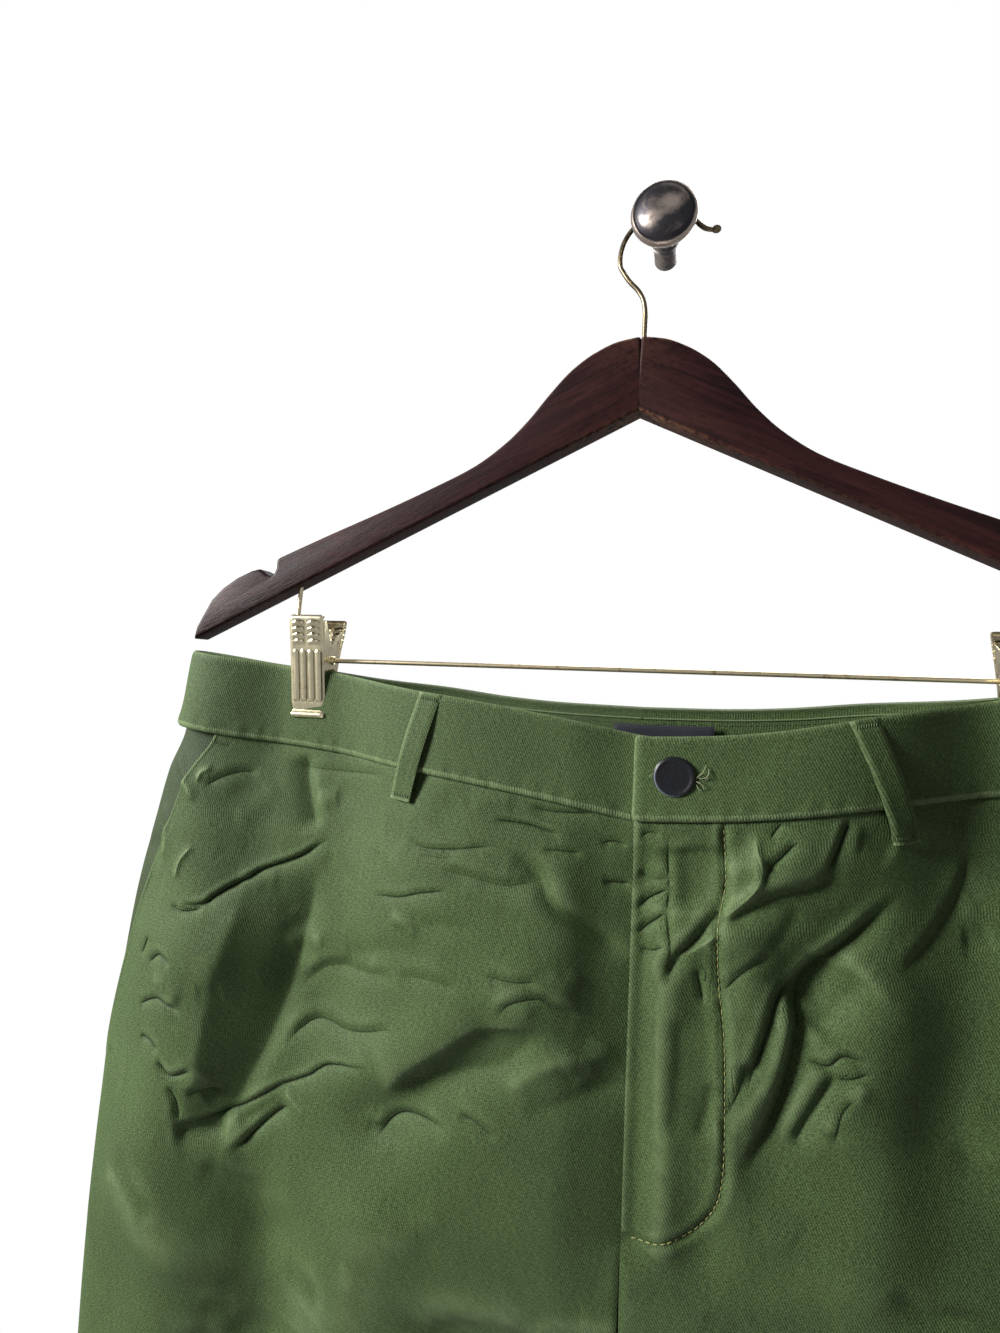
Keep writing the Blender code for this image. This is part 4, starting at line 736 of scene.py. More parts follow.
def clothSheet(cells, place, wall, marks=None, thin=None, hand=1, flip=False):
    # A grid is laid on the garment by place(u, v), which gives its outer face, and gets its wall inwards.
    # It carries its own flat places in metres ("cloth"), marks for lighter edges and raised ridges (wear, partly
    # painted highlight), and the creases' places for their bump, painted shade and painted highlight.
    bpy.ops.mesh.primitive_grid_add(x_subdivisions=cells[0], y_subdivisions=cells[1], size=1.0)
    piece = bpy.context.active_object
    mesh = piece.data
    count = len(mesh.vertices)
    flat = np.empty(count * 3)
    mesh.vertices.foreach_get("co", flat)
    flat = flat.reshape(count, 3)
    columns = np.rint((flat[:, 0] + 0.5) * cells[0]).astype(int)
    rows = np.rint((0.5 - flat[:, 1]) * cells[1]).astype(int)
    u, v = np.meshgrid(np.linspace(0.0, 1.0, cells[0] + 1), np.linspace(0.0, 1.0, cells[1] + 1))
    places = place(u, v)
    steps = np.linalg.norm(np.diff(places, axis=1), axis=-1)
    wide = np.concatenate([np.zeros((len(u), 1)), np.cumsum(steps, axis=1)], axis=1)
    drops = np.linalg.norm(np.diff(places, axis=0), axis=-1).mean(axis=1)
    down = np.concatenate([[0.0], np.cumsum(drops)])
    wide += (places[:, :1, 0] * hand).repeat(wide.shape[1], axis=1)
    mesh.vertices.foreach_set("co", inRoom(places[rows, columns]).ravel())
    corners = np.empty(len(mesh.loops), dtype=np.int32)
    mesh.loops.foreach_get("vertex_index", corners)
    uv = np.stack([wide[rows, columns] * hand * mm, -down[rows] * mm], axis=-1)[corners]
    while mesh.uv_layers:
        mesh.uv_layers.remove(mesh.uv_layers[0])
    mesh.uv_layers.new(name="cloth").data.foreach_set("uv", uv.ravel())
    found = {mark: values(u, v, places, wide) for mark, values in (marks or {}).items() if mark != "face"}
    if marks and "face" in marks:
        found["creaseAway"], found["creaseDepth"] = creaseMark(marks["face"], places[..., 0], places[..., 2])
    for mark in ("edge", "ridgeWearAndHighlight", "creaseAway", "creaseDepth"):
        values = found.get(mark, np.zeros(u.shape))
        setMark(piece, mark, values[rows, columns])
    mesh.update()
    if flip:
        mesh.flip_normals()
    settings = {"thickness": wall * mm, "offset": -1.0, "use_even_offset": False}
    if thin is not None:
        group = piece.vertex_groups.new(name="wall")
        amounts = thin(u, v)[rows, columns]
        for amount in np.unique(amounts):
            group.add(np.flatnonzero(amounts == amount).tolist(), float(amount), "REPLACE")
        settings.update(vertex_group="wall", thickness_vertex_group=0.0)
    applied(piece, "SOLIDIFY", **settings)
    rounded(piece, 60.0)
    size = (float(wide[:, -1].max() - wide[:, 0].min()), float(down[-1]))
    return piece, size


def ridgeMark(lifts, scale):
    # where the surface stands up over its neighbours
    soft = lifts.copy()
    for step in range(scale):
        soft[1:-1, 1:-1] = (soft[:-2, 1:-1] + soft[2:, 1:-1] + soft[1:-1, :-2] + soft[1:-1, 2:]) / 4
    return np.clip((lifts - soft) * 1.5, 0.0, 1.0)


sewing = {
    "fly": {"pitch": 2.9, "length": 2.1, "thick": 0.44},
    "hem": {"pitch": 3.1, "length": 2.3, "thick": 0.26, "above": 26.0, "x": (20.0, 274.0)},
    "lining": {"pitch": 2.7, "length": 1.9, "thick": 0.28, "pipingBelow": 4.6, "rowBelow": 2.3, "piping": 0.42},
    "tack": {"length": 2.0, "thick": 0.34, "proud": 0.08},
    "pocketTack": ((-209.6, -239.6), (-201.5, -241.3)), "insideTacks": (11.0, 43.0), "loopTacks": (0.05, 0.955),
    "buttonhole": {"middle": 17.4, "half": 10.4, "open": 1.15, "length": 1.5, "count": 44, "thick": 0.36},
    "looseThread": 0.17, "sunk": 0.45,
    # loose ends beside the button: places from the centre, height and how far they stand off
    "frayed": (((24.0, -240.9, 0.4), (25.0, -239.6, 1.2), (26.6, -237.9, 1.8), (27.6, -235.4, 1.1)),
               ((23.8, -242.0, 0.3), (25.2, -242.4, 1.4), (26.8, -243.6, 1.5), (27.0, -245.0, 0.5)),
               ((24.2, -240.0, 0.4), (26.0, -240.8, 1.0), (28.4, -239.4, 1.5), (28.8, -236.8, 0.8)),
               ((24.2, -243.2, 0.3), (24.8, -244.6, 0.9), (26.0, -245.4, 0.7))),
}


# panels

panel = {
    "frontCells": (196, 244), "backCells": (112, 200), "denseTo": (0.68, 0.42),
    "levels": (0.0005, 1.0), "flyEnd": 0.36, "underLap": 5.0, "lapStep": 2.0, "lapStepEnd": 0.43, "lapFade": 0.035,
    "lapEdge": 5.0, "lapWidth": 24.0, "pocketEnd": 0.36, "pocketInset": 24.0,
    "tuck": 0.55, "tuckWidth": 1.3,                # how the outer face dips into a seam
    "hemTurn": 26.0,                               # turned-up hem, over which the wall is thicker
    "meet": 0.2, "reach": 0.42, "facingOverlap": 14.0, "facingStep": 2.9, "facingCells": (44, 150),
    "length": -garment["hem"] - 245.0, "markLength": 465.0, "legWall": 0.62, "ridgeSteps": 14,
    # how much each edge is rubbed, and how broadly
    "wornEdges": {"pocket": (0.55, 1.4), "fly": (0.75, 1.1), "hem": (0.35, 1.2), "top": (0.12, 2.5),
                  "seam": (0.25, 1.2)},
}


def pocketEdge(level, row):
    share = np.clip(level / panel["pocketEnd"], 0.0, 1.0)
    return row["side"] - panel["pocketInset"] * (1.0 - share) ** 0.85


def closerAtFolds(u, closing):
    return mix(1.0 - (1.0 - u) ** 1.25, mix(u, (1.0 - np.cos(math.pi * u)) / 2, 0.7), closing)


def levelDown(v):
    # rows lie closer above the crotch, where the creases are, than down the legs
    at, level = panel["denseTo"]
    return mix(*panel["levels"], np.where(v < at, v * level / at, level + (v - at) * (1.0 - level) / (1.0 - at)))


def flyStep(level, end):
    return 1.0 - smooth((level - end) / panel["lapFade"])


def wornEdge(kind, distance):
    amount, width = panel["wornEdges"][kind]
    return amount * nearEdge(distance, width)


def hemGroove(level, length):
    # the stitched step at the top of the turned-up hem
    above = (1.0 - level) * length - panel["hemTurn"]
    return -0.35 * nearEdge(above, 0.9) + 0.35 * smooth(0.5 - above / 3.0)


def frontPlace(side):
    def place(u, v, marksOnly=False):
        level = levelDown(v)
        row = formAt(level)
        inPocket = level < panel["pocketEnd"]
        outer = np.where(inPocket, acrossOf(row, pocketEdge(level, row)), 1.0)
        lapped = side == right
        under = flyStep(level, panel["flyEnd"]) * lapped
        step = flyStep(level, panel["lapStepEnd"]) * lapped
        inner = -row["closing"] - panel["underLap"] * under / halfWidth(row)
        across = mix(inner, outer, closerAtFolds(u, row["closing"]))
        x = row["side"] - halfWidth(row) * (1.0 - across)
        stepBack = -panel["lapStep"] * step * (1.0 - smooth((x - panel["lapEdge"]) / panel["lapWidth"]))
        acrossWide = (outer - inner) * halfWidth(row)
        fromInner, fromOuter = u * acrossWide, (1.0 - u) * acrossWide
        length = panel["length"]
        fromTop, fromHem = level * length, (1.0 - level) * length
        if marksOnly:
            onFly = (level < panel["flyEnd"]) * (side == left)
            edge = wornEdge("pocket", fromOuter) * np.where(inPocket, 1.0, 0.25)
            edge = np.maximum(edge, wornEdge("fly", fromInner) * onFly)
            edge = np.maximum(edge, wornEdge("hem", fromHem))
            return np.maximum(edge, wornEdge("top", fromTop))
        tuck = nearEdge(fromTop, 1.6) * 0.9
        tuck = np.maximum(tuck, nearEdge(fromOuter, panel["tuckWidth"]) * np.where(inPocket, 0.25, 1.0))
        openFly = (level < panel["flyEnd"]) & (side == left)
        tuck = np.maximum(tuck, nearEdge(fromInner, panel["tuckWidth"]) * np.where(openFly, 0.0, 1.0))
        roll = 0.45 * nearEdge(fromInner - 1.6, 1.5) * openFly + 0.35 * nearEdge(fromOuter - 1.8, 1.6) * inPocket
        proud = stepBack + garment["panelWall"] / 2 - panel["tuck"] * tuck + roll + hemGroove(level, length)
        proud = proud - flyPucker(side * x, level, side)
        return clothAt(front, side, across, level, proud)
    return place


# the stitched line of the fly, from the band down and round to the centre seam
flyLine = {
    "places": ((35.2, -260.5), (36.4, -280.6), (33.8, -299.0), (34.9, -321.0), (37.3, -340.2), (38.5, -373.2),
               (38.2, -393.0), (36.0, -405.0), (30.5, -414.0), (21.5, -420.5), (12.0, -423.5), (3.0, -424.5)),
}
flyRoute = softPath(flyLine["places"], 8)


def flyPucker(x, level, side):
    # the cloth sinks along the fly stitching, unevenly
    if side == right:
        return 0.0
    row = formAt(level)
    z = mix(seamHeight(front, side, np.abs(x), row), garment["hem"], level)
    away = awayFrom(flyRoute, x, z)[0]
    uneven = 0.62 + 0.38 * np.sin(z * 0.55 + 1.7 * np.sin(z * 0.21))
    return 0.75 * uneven * nearEdge(away, 1.5) - 0.30 * nearEdge(away - 3.2, 1.6)


def ridgeWearAndHighlightMark(u, v, places, wide):
    # marks where the cloth stands out over its neighbours, to be lighter: rubbed wear, partly a painted highlight
    return ridgeMark(np.abs(places[..., 1]), panel["ridgeSteps"])


def frontMarks(side):
    def mark(u, v, places, wide):
        return frontPlace(side)(u, v, True)
    return mark


def laid(key, name, node, material, slot, *sheet):
    # a cloth sheet that stands for the node, kept with its widest and longest size
    piece, size = clothSheet(*sheet)
    panels[key] = named(piece, name, material, (node,)), size
    return size


def makePanels():
    # the pocket facing is the twill darkened to half: painted shade
    paintedShade, wall = clothFinish("pocket twill in painted shade", 0.5), garment["panelWall"] - 0.2
    for side in (right, left):
        word = sideName[side]
        laid(("front", side), "cloth_front_" + word, "front_" + word, clothMaterial, "olive_twill",
             panel["frontCells"], frontPlace(side), wall,
             {"edge": frontMarks(side), "ridgeWearAndHighlight": ridgeWearAndHighlightMark, "face": front}, hemWall, side, side == left)
        laid(("back", side), "cloth_back_" + word, "back_" + word, clothMaterial, "olive_twill",
             panel["backCells"], backPlace(side), wall,
             {"edge": backMarks, "ridgeWearAndHighlight": ridgeWearAndHighlightMark, "face": back}, hemWall, -side, side == right)
        laid(("pocket", side), "cloth_pocket_" + word, "pocket_facing_" + word, paintedShade, "pocket_twill",
             panel["facingCells"], facingPlace(side), wall, None, None, side, side == left)


def hemWall(u, v):
    return np.where((1.0 - levelDown(v)) * panel["length"] < panel["hemTurn"], 1.0, panel["legWall"])


def backPlace(side):
    def place(u, v):
        level = levelDown(v)
        row = formAt(level)
        # the two backs meet at the centre seam
        inner = -row["closing"] - panel["meet"] * (1.0 - smooth(row["closing"] * 4.0)) / halfWidth(row)
        across = mix(inner, 1.0, closerAtFolds(u, row["closing"]))
        wide = (1.0 + row["closing"]) * halfWidth(row)
        length = panel["length"]
        tuck = np.maximum(nearEdge(level * length, 1.6) * 0.9, nearEdge((1.0 - u) * wide, panel["tuckWidth"]))
        tuck = np.maximum(tuck, nearEdge(u * wide, panel["tuckWidth"]))
        proud = garment["panelWall"] / 2 - panel["tuck"] * tuck + hemGroove(level, length)
        # the side seam and the inseam are closed by the back reaching over to the front
        joins = nearEdge((1.0 - u) * wide, 1.0) + nearEdge(u * wide, 1.0) * smooth(row["closing"] * 2.0)
        spot = clothAt(back, side, across, level, proud)
        spot[..., 1] -= panel["reach"] * joins
        return spot
    return place


def backMarks(u, v, places, wide):
    width = wide[:, -1:] - wide[:, :1]
    edge = np.maximum(wornEdge("seam", u * width), wornEdge("seam", (1.0 - u) * width))
    return np.maximum(edge, wornEdge("hem", (1.0 - levelDown(v)) * panel["markLength"]))


def facingPlace(side):
    def place(u, v):
        level = mix(panel["levels"][0], panel["pocketEnd"] - 0.02, v)
        row = formAt(level)
        inner = acrossOf(row, pocketEdge(level, row) - panel["facingOverlap"])
        across = mix(inner, 1.0, 1.0 - (1.0 - u) ** 1.6)
        return clothAt(front, side, across, level, -panel["facingStep"] + garment["panelWall"] / 2)
    return place


panels, clothMaterial = {}, clothFinish("olive twill")
makePanels()
print("panels made")
for key, (piece, size) in panels.items():
    print("   ", key, "widest %.0f, long %.0f" % size)


# waistband

band = {
    "cells": (430, 36), "levels": (-1.0, -0.008), "flyWidth": 36.0, "lapEdge": 2.0, "lapWidth": 26.0,
    "height": 35.0,
}


def closerAtEdges(v):
    return mix(v, (1.0 - np.cos(math.pi * v)) / 2, 0.7)


def bandPlace(side):
    start = -band["flyWidth"] if side == right else 0.0

    def place(u, v):
        level = mix(*band["levels"], closerAtEdges(v))
        row = formAt(level)
        onFront = u <= 0.5
        share = np.where(onFront, 2.0 * u, 2.0 * (1.0 - u))
        first = np.where(onFront, start, -panel["meet"]) / halfWidth(row)
        across = mix(first, 1.0, 1.0 - (1.0 - share) ** 1.35)
        x = row["side"] - halfWidth(row) * (1.0 - across)
        under = 0.0
        if side == right:
            step = garment["bandWall"] + 2 * garment["gap"]
            under = -step * (1.0 - smooth((x - band["lapEdge"]) / band["lapWidth"])) * onFront
        height = bandHeight(front, side, x, row)
        fromTop, fromSeam = (1.0 + level) * height, -level * height
        fromEnd = x - start
        tuck = 0.75 * nearEdge(fromTop, 0.9) + 0.8 * nearEdge(fromSeam, 0.55) - 0.22 * nearEdge(fromSeam - 1.0, 0.7)
        tuck = np.maximum(tuck, 0.7 * nearEdge(fromEnd, 0.9) * onFront)
        pucker = 0.16 * np.sin(x * 0.61 + 1.3 * np.sin(x * 0.17)) * nearEdge(fromSeam - 2.5, 2.6)
        quilt = 0.22 * np.sin(x * 0.083 + level * 2.0) * np.sin(level * 3.1)
        proud = under + garment["bandWall"] / 2 - tuck + pucker + quilt
        faces = [clothAt(face, side, across, level, proud, False) for face in (front, back)]
        return np.where(onFront[..., None], *faces)
    return place


def bandEdgeWearAndHighlight(side):
    def mark(u, v, places, wide):
        height, v = band["height"], closerAtEdges(v)
        # the top edge, the seam edge and the ends are lighter, most the lapping left end: wear and a painted
        # highlight of the rounded edges
        edge = 0.85 * nearEdge((1.0 - v) * height - 0.55, 0.5) + 0.7 * nearEdge(v * height - 0.5, 0.8)
        ends = nearEdge(wide - wide[:, :1], 1.0) * (0.8 if side == left else 0.2)
        return np.clip(np.maximum(edge, ends), 0.0, 1.0)
    return mark


for side in (right, left):
    size = laid(("band", side), "cloth_band_" + sideName[side], "waistband_" + sideName[side], clothMaterial,
                "olive_twill", band["cells"], bandPlace(side), garment["bandWall"] - 0.1,
                {"edge": bandEdgeWearAndHighlight(side)}, None, side, side == left)
    print("    band widest %.0f, long %.0f" % size)
print("waistband made")


# belt loops

loop = {
    "width": 9.3, "length": 51.0, "wall": 1.2, "above": 0.3, "below": 15.0, "bow": 2.0, "cells": (10, 64),
    # face, distance from the centre, how much farther out the lower end stands
    "kinds": {("front", right): (front, 90.0, 12.5), ("front", left): (front, 85.0, 17.0),
              ("side_back", right): (back, 178.0, 3.0), ("side_back", left): (back, 177.0, 4.0),
              ("back", right): (back, 42.0, 2.0), ("back", left): (back, 43.0, 1.0)},
}


def loopPlace(kind, side):
    face, centre, lean = loop["kinds"][kind, side]

    def place(u, v):
        row = formAt(np.full(u.shape, -0.5))
        x = centre + lean * v + loop["width"] * (u - 0.5)
        seam, height = seamHeight(face, side, x, row), bandHeight(face, side, x, row)
        z = mix(seam + height, seam - loop["below"], v)
        level = np.where(z >= seam, (seam - z) / height, (seam - z) / (seam - garment["hem"]))
        row = formAt(level)
        fromEdge = np.minimum(u, 1.0 - u) * loop["width"]
        lift = garment["bandWall"] / 2 + garment["gap"] + loop["wall"] + loop["bow"] * np.sin(math.pi * v)
        lift = lift - 0.45 * nearEdge(fromEdge, 0.7) + 0.16 * nearEdge(fromEdge - 1.5, 0.8)
        for end in sewing["loopTacks"][::-1]:
            lift = lift - 0.25 * nearEdge((v - end) * loop["length"], 0.9)
        point = clothAt(face, side, acrossOf(row, x), level, lift)
        point[..., 2] += loop["above"] * (1.0 - v)
        return point
    return place


def loopEdgeWearAndHighlight(u, v, places, wide):
    # the edges and the ends are lighter: wear and a painted highlight
    fromEdge = np.minimum(u, 1.0 - u) * loop["width"]
    ends = np.minimum(v, 1.0 - v) * loop["length"]
    return np.clip(0.75 * nearEdge(fromEdge - 0.4, 0.7) + 0.7 * nearEdge(ends - 0.3, 0.7), 0.0, 1.0)


for kind, side in loop["kinds"]:
    name = "%s_%s" % (kind, sideName[side])
    facing = side if kind == "front" else -side
    laid(("loop", name), "cloth_loop_" + name, "belt_loop_" + name, clothMaterial, "olive_twill",
         loop["cells"], loopPlace(kind, side), loop["wall"], {"edge": loopEdgeWearAndHighlight}, None, facing, facing == left)
print("belt loops made")


# the fly's hidden layers and the label

fly = {
    "shield": {"x": (-10.0, 36.0), "levels": (0.003, 0.36), "behind": 3.5, "wall": 1.1, "cells": (24, 90)},
    "tape": {"x": (5.8, 30.0), "levels": (0.03, 0.28), "behind": 2.0, "wall": 0.5, "cells": (14, 70)},
    "label": {"x": (-13.0, 32.0), "levels": (-0.80, -0.18), "size": (45.0, 22.0), "behind": 0.62, "wall": 0.6,
              "cells": (60, 24)},
    "teeth": {"x": 18.4, "pitch": 1.5, "size": (4.4, 0.7, 0.9), "behind": 2.5, "first": -276.0, "last": -386.0,
              "apart": 0.9, "bevel": 0.18},
    # the slider's blocks: size, place from its seat, how much their edges are eased
    "pull": {"height": -265.0, "ring": (1.3, 0.15), "ringAt": (0.0, -0.85, 0.4),
             "blocks": (((5.0, 0.4, 8.6), (0.0, -0.5, 0.0), 0.15), ((5.0, 0.4, 8.6), (0.0, 0.6, 0.0), 0.15),
                        ((1.4, 0.9, 7.4), (0.0, 0.05, 0.4), 0.2), ((3.6, 0.3, 9.0), (0.0, -0.85, -5.0), 0.12))},
}


def overCentre(face, x, row, level, proud, split, creased=True):
    # places on both sides of the centre; left of the split they lie on the right side
    sides = [clothAt(face, side, acrossOf(row, np.maximum(side * x, row["inner"])), level, proud, creased)
             for side in (right, left)]
    return np.where((x < split)[..., None], *sides)


def behindFly(piece):
    def place(u, v):
        level = mix(*piece["levels"], v)
        row = formAt(level)
        return overCentre(front, mix(*piece["x"], u), row, level, -piece["behind"], row["inner"])
    return place


def labelPlace(u, v):
    piece = fly["label"]
    level = mix(*piece["levels"], v)
    row = formAt(level)
    wide, high = piece["size"]
    fromEdge = np.minimum(np.minimum(u, 1.0 - u) * wide, np.minimum(v, 1.0 - v) * high)
    proud = -(garment["bandWall"] / 2 + garment["gap"] + piece["behind"] - 0.3 * nearEdge(fromEdge, 0.8))
    proud = proud - 0.25 * np.sin(u * 9.0 + 1.0) * np.sin(v * 3.0)
    return overCentre(back, mix(*piece["x"], u), row, level, proud, 0.0, False)


def labelFinish():
    satin = Finish("navy satin label", Roughness=0.42, Sheen_Weight=0.15)
    flat = satin.flat()
    parts = satin.node("ShaderNodeSeparateXYZ", {}, {0: flat})
    warp = (parts * 9000.0).calc("SINE") * 0.5 + 0.5
    weft = (parts.other(1) * 7000.0).calc("SINE") * 0.5 + 0.5
    weave = warp * weft
    colour = satin.blend(weave * 0.7 + 0.5 * satin.noise(flat, 500.0), (0.006, 0.007, 0.011), (0.022, 0.026, 0.040))
    return satin.finish(Base_Color=colour, Normal=satin.relief(weave, 0.08, 0.6))


def tapeFinish():
    tape = Finish("zip tape weave", Roughness=0.75)
    flat = tape.flat()
    ribs = tape.noise(tape.stretch(flat, (300.0, 1600.0, 1.0)), 1.0, 2.0)
    colour = tape.blend(ribs, (0.022, 0.045, 0.016), (0.075, 0.13, 0.052))
    return tape.finish(Base_Color=colour, Normal=tape.relief(ribs, 0.2, 0.6))


laid(("shield", left), "cloth_fly_shield", "fly_shield", clothMaterial, "olive_twill",
     fly["shield"]["cells"], behindFly(fly["shield"]), fly["shield"]["wall"], None, None, 1, True)
laid(("tape", left), "zip_tape", "zip_strip", tapeFinish(), "zip_tape",
     fly["tape"]["cells"], behindFly(fly["tape"]), fly["tape"]["wall"], None, None, 1, True)
size = laid(("label", left), "cloth_label", "back_label", labelFinish(), "navy_label",
            fly["label"]["cells"], labelPlace, fly["label"]["wall"], None, None, -1)
print("fly layers and label made, label %.0f by %.0f" % size)


# metal, wood and the button

def brassFinish(name, colour, dull, rough=0.20):
    # plated sheet and wire: bright, with handling marks, a little tarnish, and painted shade in the hollows and on
    # the steps of the clip's pressing
    metal = Finish(name, Metallic=1.0, Roughness=rough)
    place = metal.place()
    tarnish = metal.noise(place, 160.0, 4.0, 0.6)
    scratch = metal.noise(metal.stretch(place, (1800.0, 1800.0, 160.0)), 1.0, 2.0)
    tone = metal.blend(tarnish.between(0.52, 0.74), colour, dull)
    # painted shade in the pressing's hollows and on its steps
    tone = metal.blend(metal.mark("paintedRecessShade") * 0.93, tone, (0.016, 0.012, 0.006))
    return metal.finish(Base_Color=tone, Roughness=rough - 0.06 + 0.22 * tarnish + 0.10 * scratch,
                        Normal=metal.relief(scratch, 0.02, 0.35))


def woodFinish(name, lean):
    # dark stained mahogany under a thin satin lacquer, its pores running along the arm
    stain = Finish(name, Coat_Weight=0.04, Coat_Roughness=0.3, Specular_IOR_Level=0.14)
    place = stain.place()
    turned = stain.stretch(place, (1.0, 1.0, 1.0), (0.0, lean, 0.0))
    grain = stain.noise(stain.stretch(turned, (26.0, 260.0, 420.0)), 1.0, 5.0, 0.62, 0.4)
    pores = stain.noise(stain.stretch(turned, (120.0, 1500.0, 1900.0)), 1.0, 2.0, 0.6)
    figure = stain.noise(stain.stretch(turned, (9.0, 40.0, 60.0)), 1.0, 3.0, 0.6, 1.2)
    deep = stain.blend(grain.between(0.30, 0.72), (0.0060, 0.0012, 0.0018), (0.028, 0.0062, 0.0072))
    tone = stain.blend(figure.between(0.48, 0.80) * 0.55, deep, (0.050, 0.017, 0.015))
    tone = stain.blend(pores.between(0.60, 0.72) * 0.85, tone, (0.004, 0.0015, 0.0018))
    wornAndHighlit = stain.mark("wornAndHighlit") * stain.noise(place, 380.0, 4.0, 0.7).between(0.36, 0.62)
    tone = stain.blend(wornAndHighlit * 0.75, tone, (0.20, 0.095, 0.055))
    fleck = stain.noise(place, 900.0, 2.0, 0.7).between(0.69, 0.74)
    tone = stain.blend(fleck * 0.35, tone, (0.17, 0.11, 0.095))
    under = stain.relief(grain, 0.10, 0.5)
    return stain.finish(Base_Color=tone, Roughness=0.44 + 0.22 * grain - 0.10 * figure,
                        Normal=stain.relief(pores.between(0.45, 0.72) * -1.0, 0.10, 0.6, under))


def ironFinish(name):
    # rubbed antique metal: near black in the low places, warm and bright where hands polish it, with painted
    # highlights on two patches of the dome
    iron = Finish(name, Metallic=1.0)
    place = iron.place()
    patch = iron.noise(place, 70.0, 5.0, 0.62, 0.8)
    pit = iron.noise(place, 420.0, 4.0, 0.65)
    rubAndHighlight = iron.mark("wornAndHighlit")
    bright = (patch * 1.1 + pit * 0.35 + rubAndHighlight * 0.55).between(0.66, 1.25)
    tone = iron.blend(bright, (0.055, 0.052, 0.058), (0.62, 0.52, 0.46))
    tone = iron.blend(pit.between(0.56, 0.70) * 0.6, tone, (0.03, 0.026, 0.026))
    return iron.finish(Base_Color=tone, Roughness=0.44 - 0.20 * bright + 0.12 * pit,
                       Normal=iron.relief(pit, 0.12, 0.45))


def buttonFinish():
    horn = Finish("black navy button", Coat_Weight=0.12, Coat_Roughness=0.25, Specular_IOR_Level=0.35)
    place = horn.place()
    speck = horn.noise(place, 900.0, 3.0, 0.7)
    # the mark is a painted highlight on the rim's lower left
    edge = horn.mark("wornAndHighlit")
    tone = horn.blend(speck.between(0.3, 0.8), (0.0025, 0.0028, 0.0045), (0.010, 0.011, 0.016))
    tone = horn.blend(edge * 0.5, tone, (0.16, 0.18, 0.22))
    return horn.finish(Base_Color=tone, Roughness=0.30 + 0.16 * speck, Normal=horn.relief(speck, 0.05, 0.5))


def outlinePiece(name, outline, thick, bevel, place, segments):
    # a flat outline, extruded in edit mode to its thickness, with its edges eased
    piece = newMesh(name, [(a, b, -thick / 2) for a, b in outline], [list(range(len(outline)))])
    extrude = bpy.ops.mesh.extrude_region_move
    edited(piece, lambda: extrude(TRANSFORM_OT_translate={"value": (0.0, 0.0, thick)}), facesTurnedOut)
    applied(piece, "BEVEL", width=bevel, segments=segments, limit_method="ANGLE", angle_limit=math.radians(50))
    for vertex in piece.data.vertices:
        vertex.co = Vector(place(*vertex.co)) * mm
    piece.data.update()
    edited(piece, facesTurnedOut)
    rounded(piece, 35.0)
    return piece


def tube(name, points, radius, sides=8, swell=None):
    # a wire along the points, in millimetres
    curve = bpy.data.curves.new(name, "CURVE")
    curve.dimensions = "3D"
    curve.bevel_depth = radius * mm
    curve.bevel_resolution = sides // 2
    curve.use_fill_caps = True
    line = curve.splines.new("POLY")
    line.points.add(len(points) - 1)
    for i, (point, place) in enumerate(zip(line.points, points)):
        point.co = (*(Vector(place) * mm), 1.0)
        point.radius = swell[i] if swell is not None else 1.0
    piece = bpy.data.objects.new(name, curve)
    scene.collection.objects.link(piece)
    select(piece)
    bpy.ops.object.convert(target="MESH")
    piece = bpy.context.active_object
    edited(piece, lambda: bpy.ops.mesh.remove_doubles(threshold=merged), facesTurnedOut)
    rounded(piece, 50.0)
    return piece


def spots(piece):
    values = np.empty(len(piece.data.vertices) * 3)
    piece.data.vertices.foreach_get("co", values)
    return values.reshape(-1, 3) / mm


def joined(pieces):
    select(pieces[0])
    for piece in pieces:
        piece.select_set(True)
    bpy.context.view_layer.objects.active = pieces[0]
    bpy.ops.object.join()
    return bpy.context.active_object


hanger = {
    "centreX": -8.6, "middleY": -23.5, "thick": 12.9, "edge": 2.3, "seam": -1.9,
    "top": ((0.0, -49.4), (10.0, -51.0), (20.0, -55.2), (30.0, -62.0), (40.0, -72.4), (50.0, -84.4), (60.0, -94.2),
            (75.0, -104.8), (95.0, -114.2), (120.0, -124.8), (150.0, -136.8), (176.5, -147.8)),
    "notchAndEnd": ((176.6, -152.5), (178.0, -155.4), (180.0, -156.4), (182.0, -155.7), (183.3, -154.3),
                    (186.4, -152.9), (190.5, -153.8), (199.0, -157.6), (206.8, -162.7), (213.0, -168.6),
                    (217.4, -176.1), (221.2, -182.8)),
    "tip": 223.0, "bottomCentre": -82.6, "slope": 0.4785,
}


def onHanger(x, depth, z):
    return (x + hanger["centreX"], depth + hanger["middleY"], z)


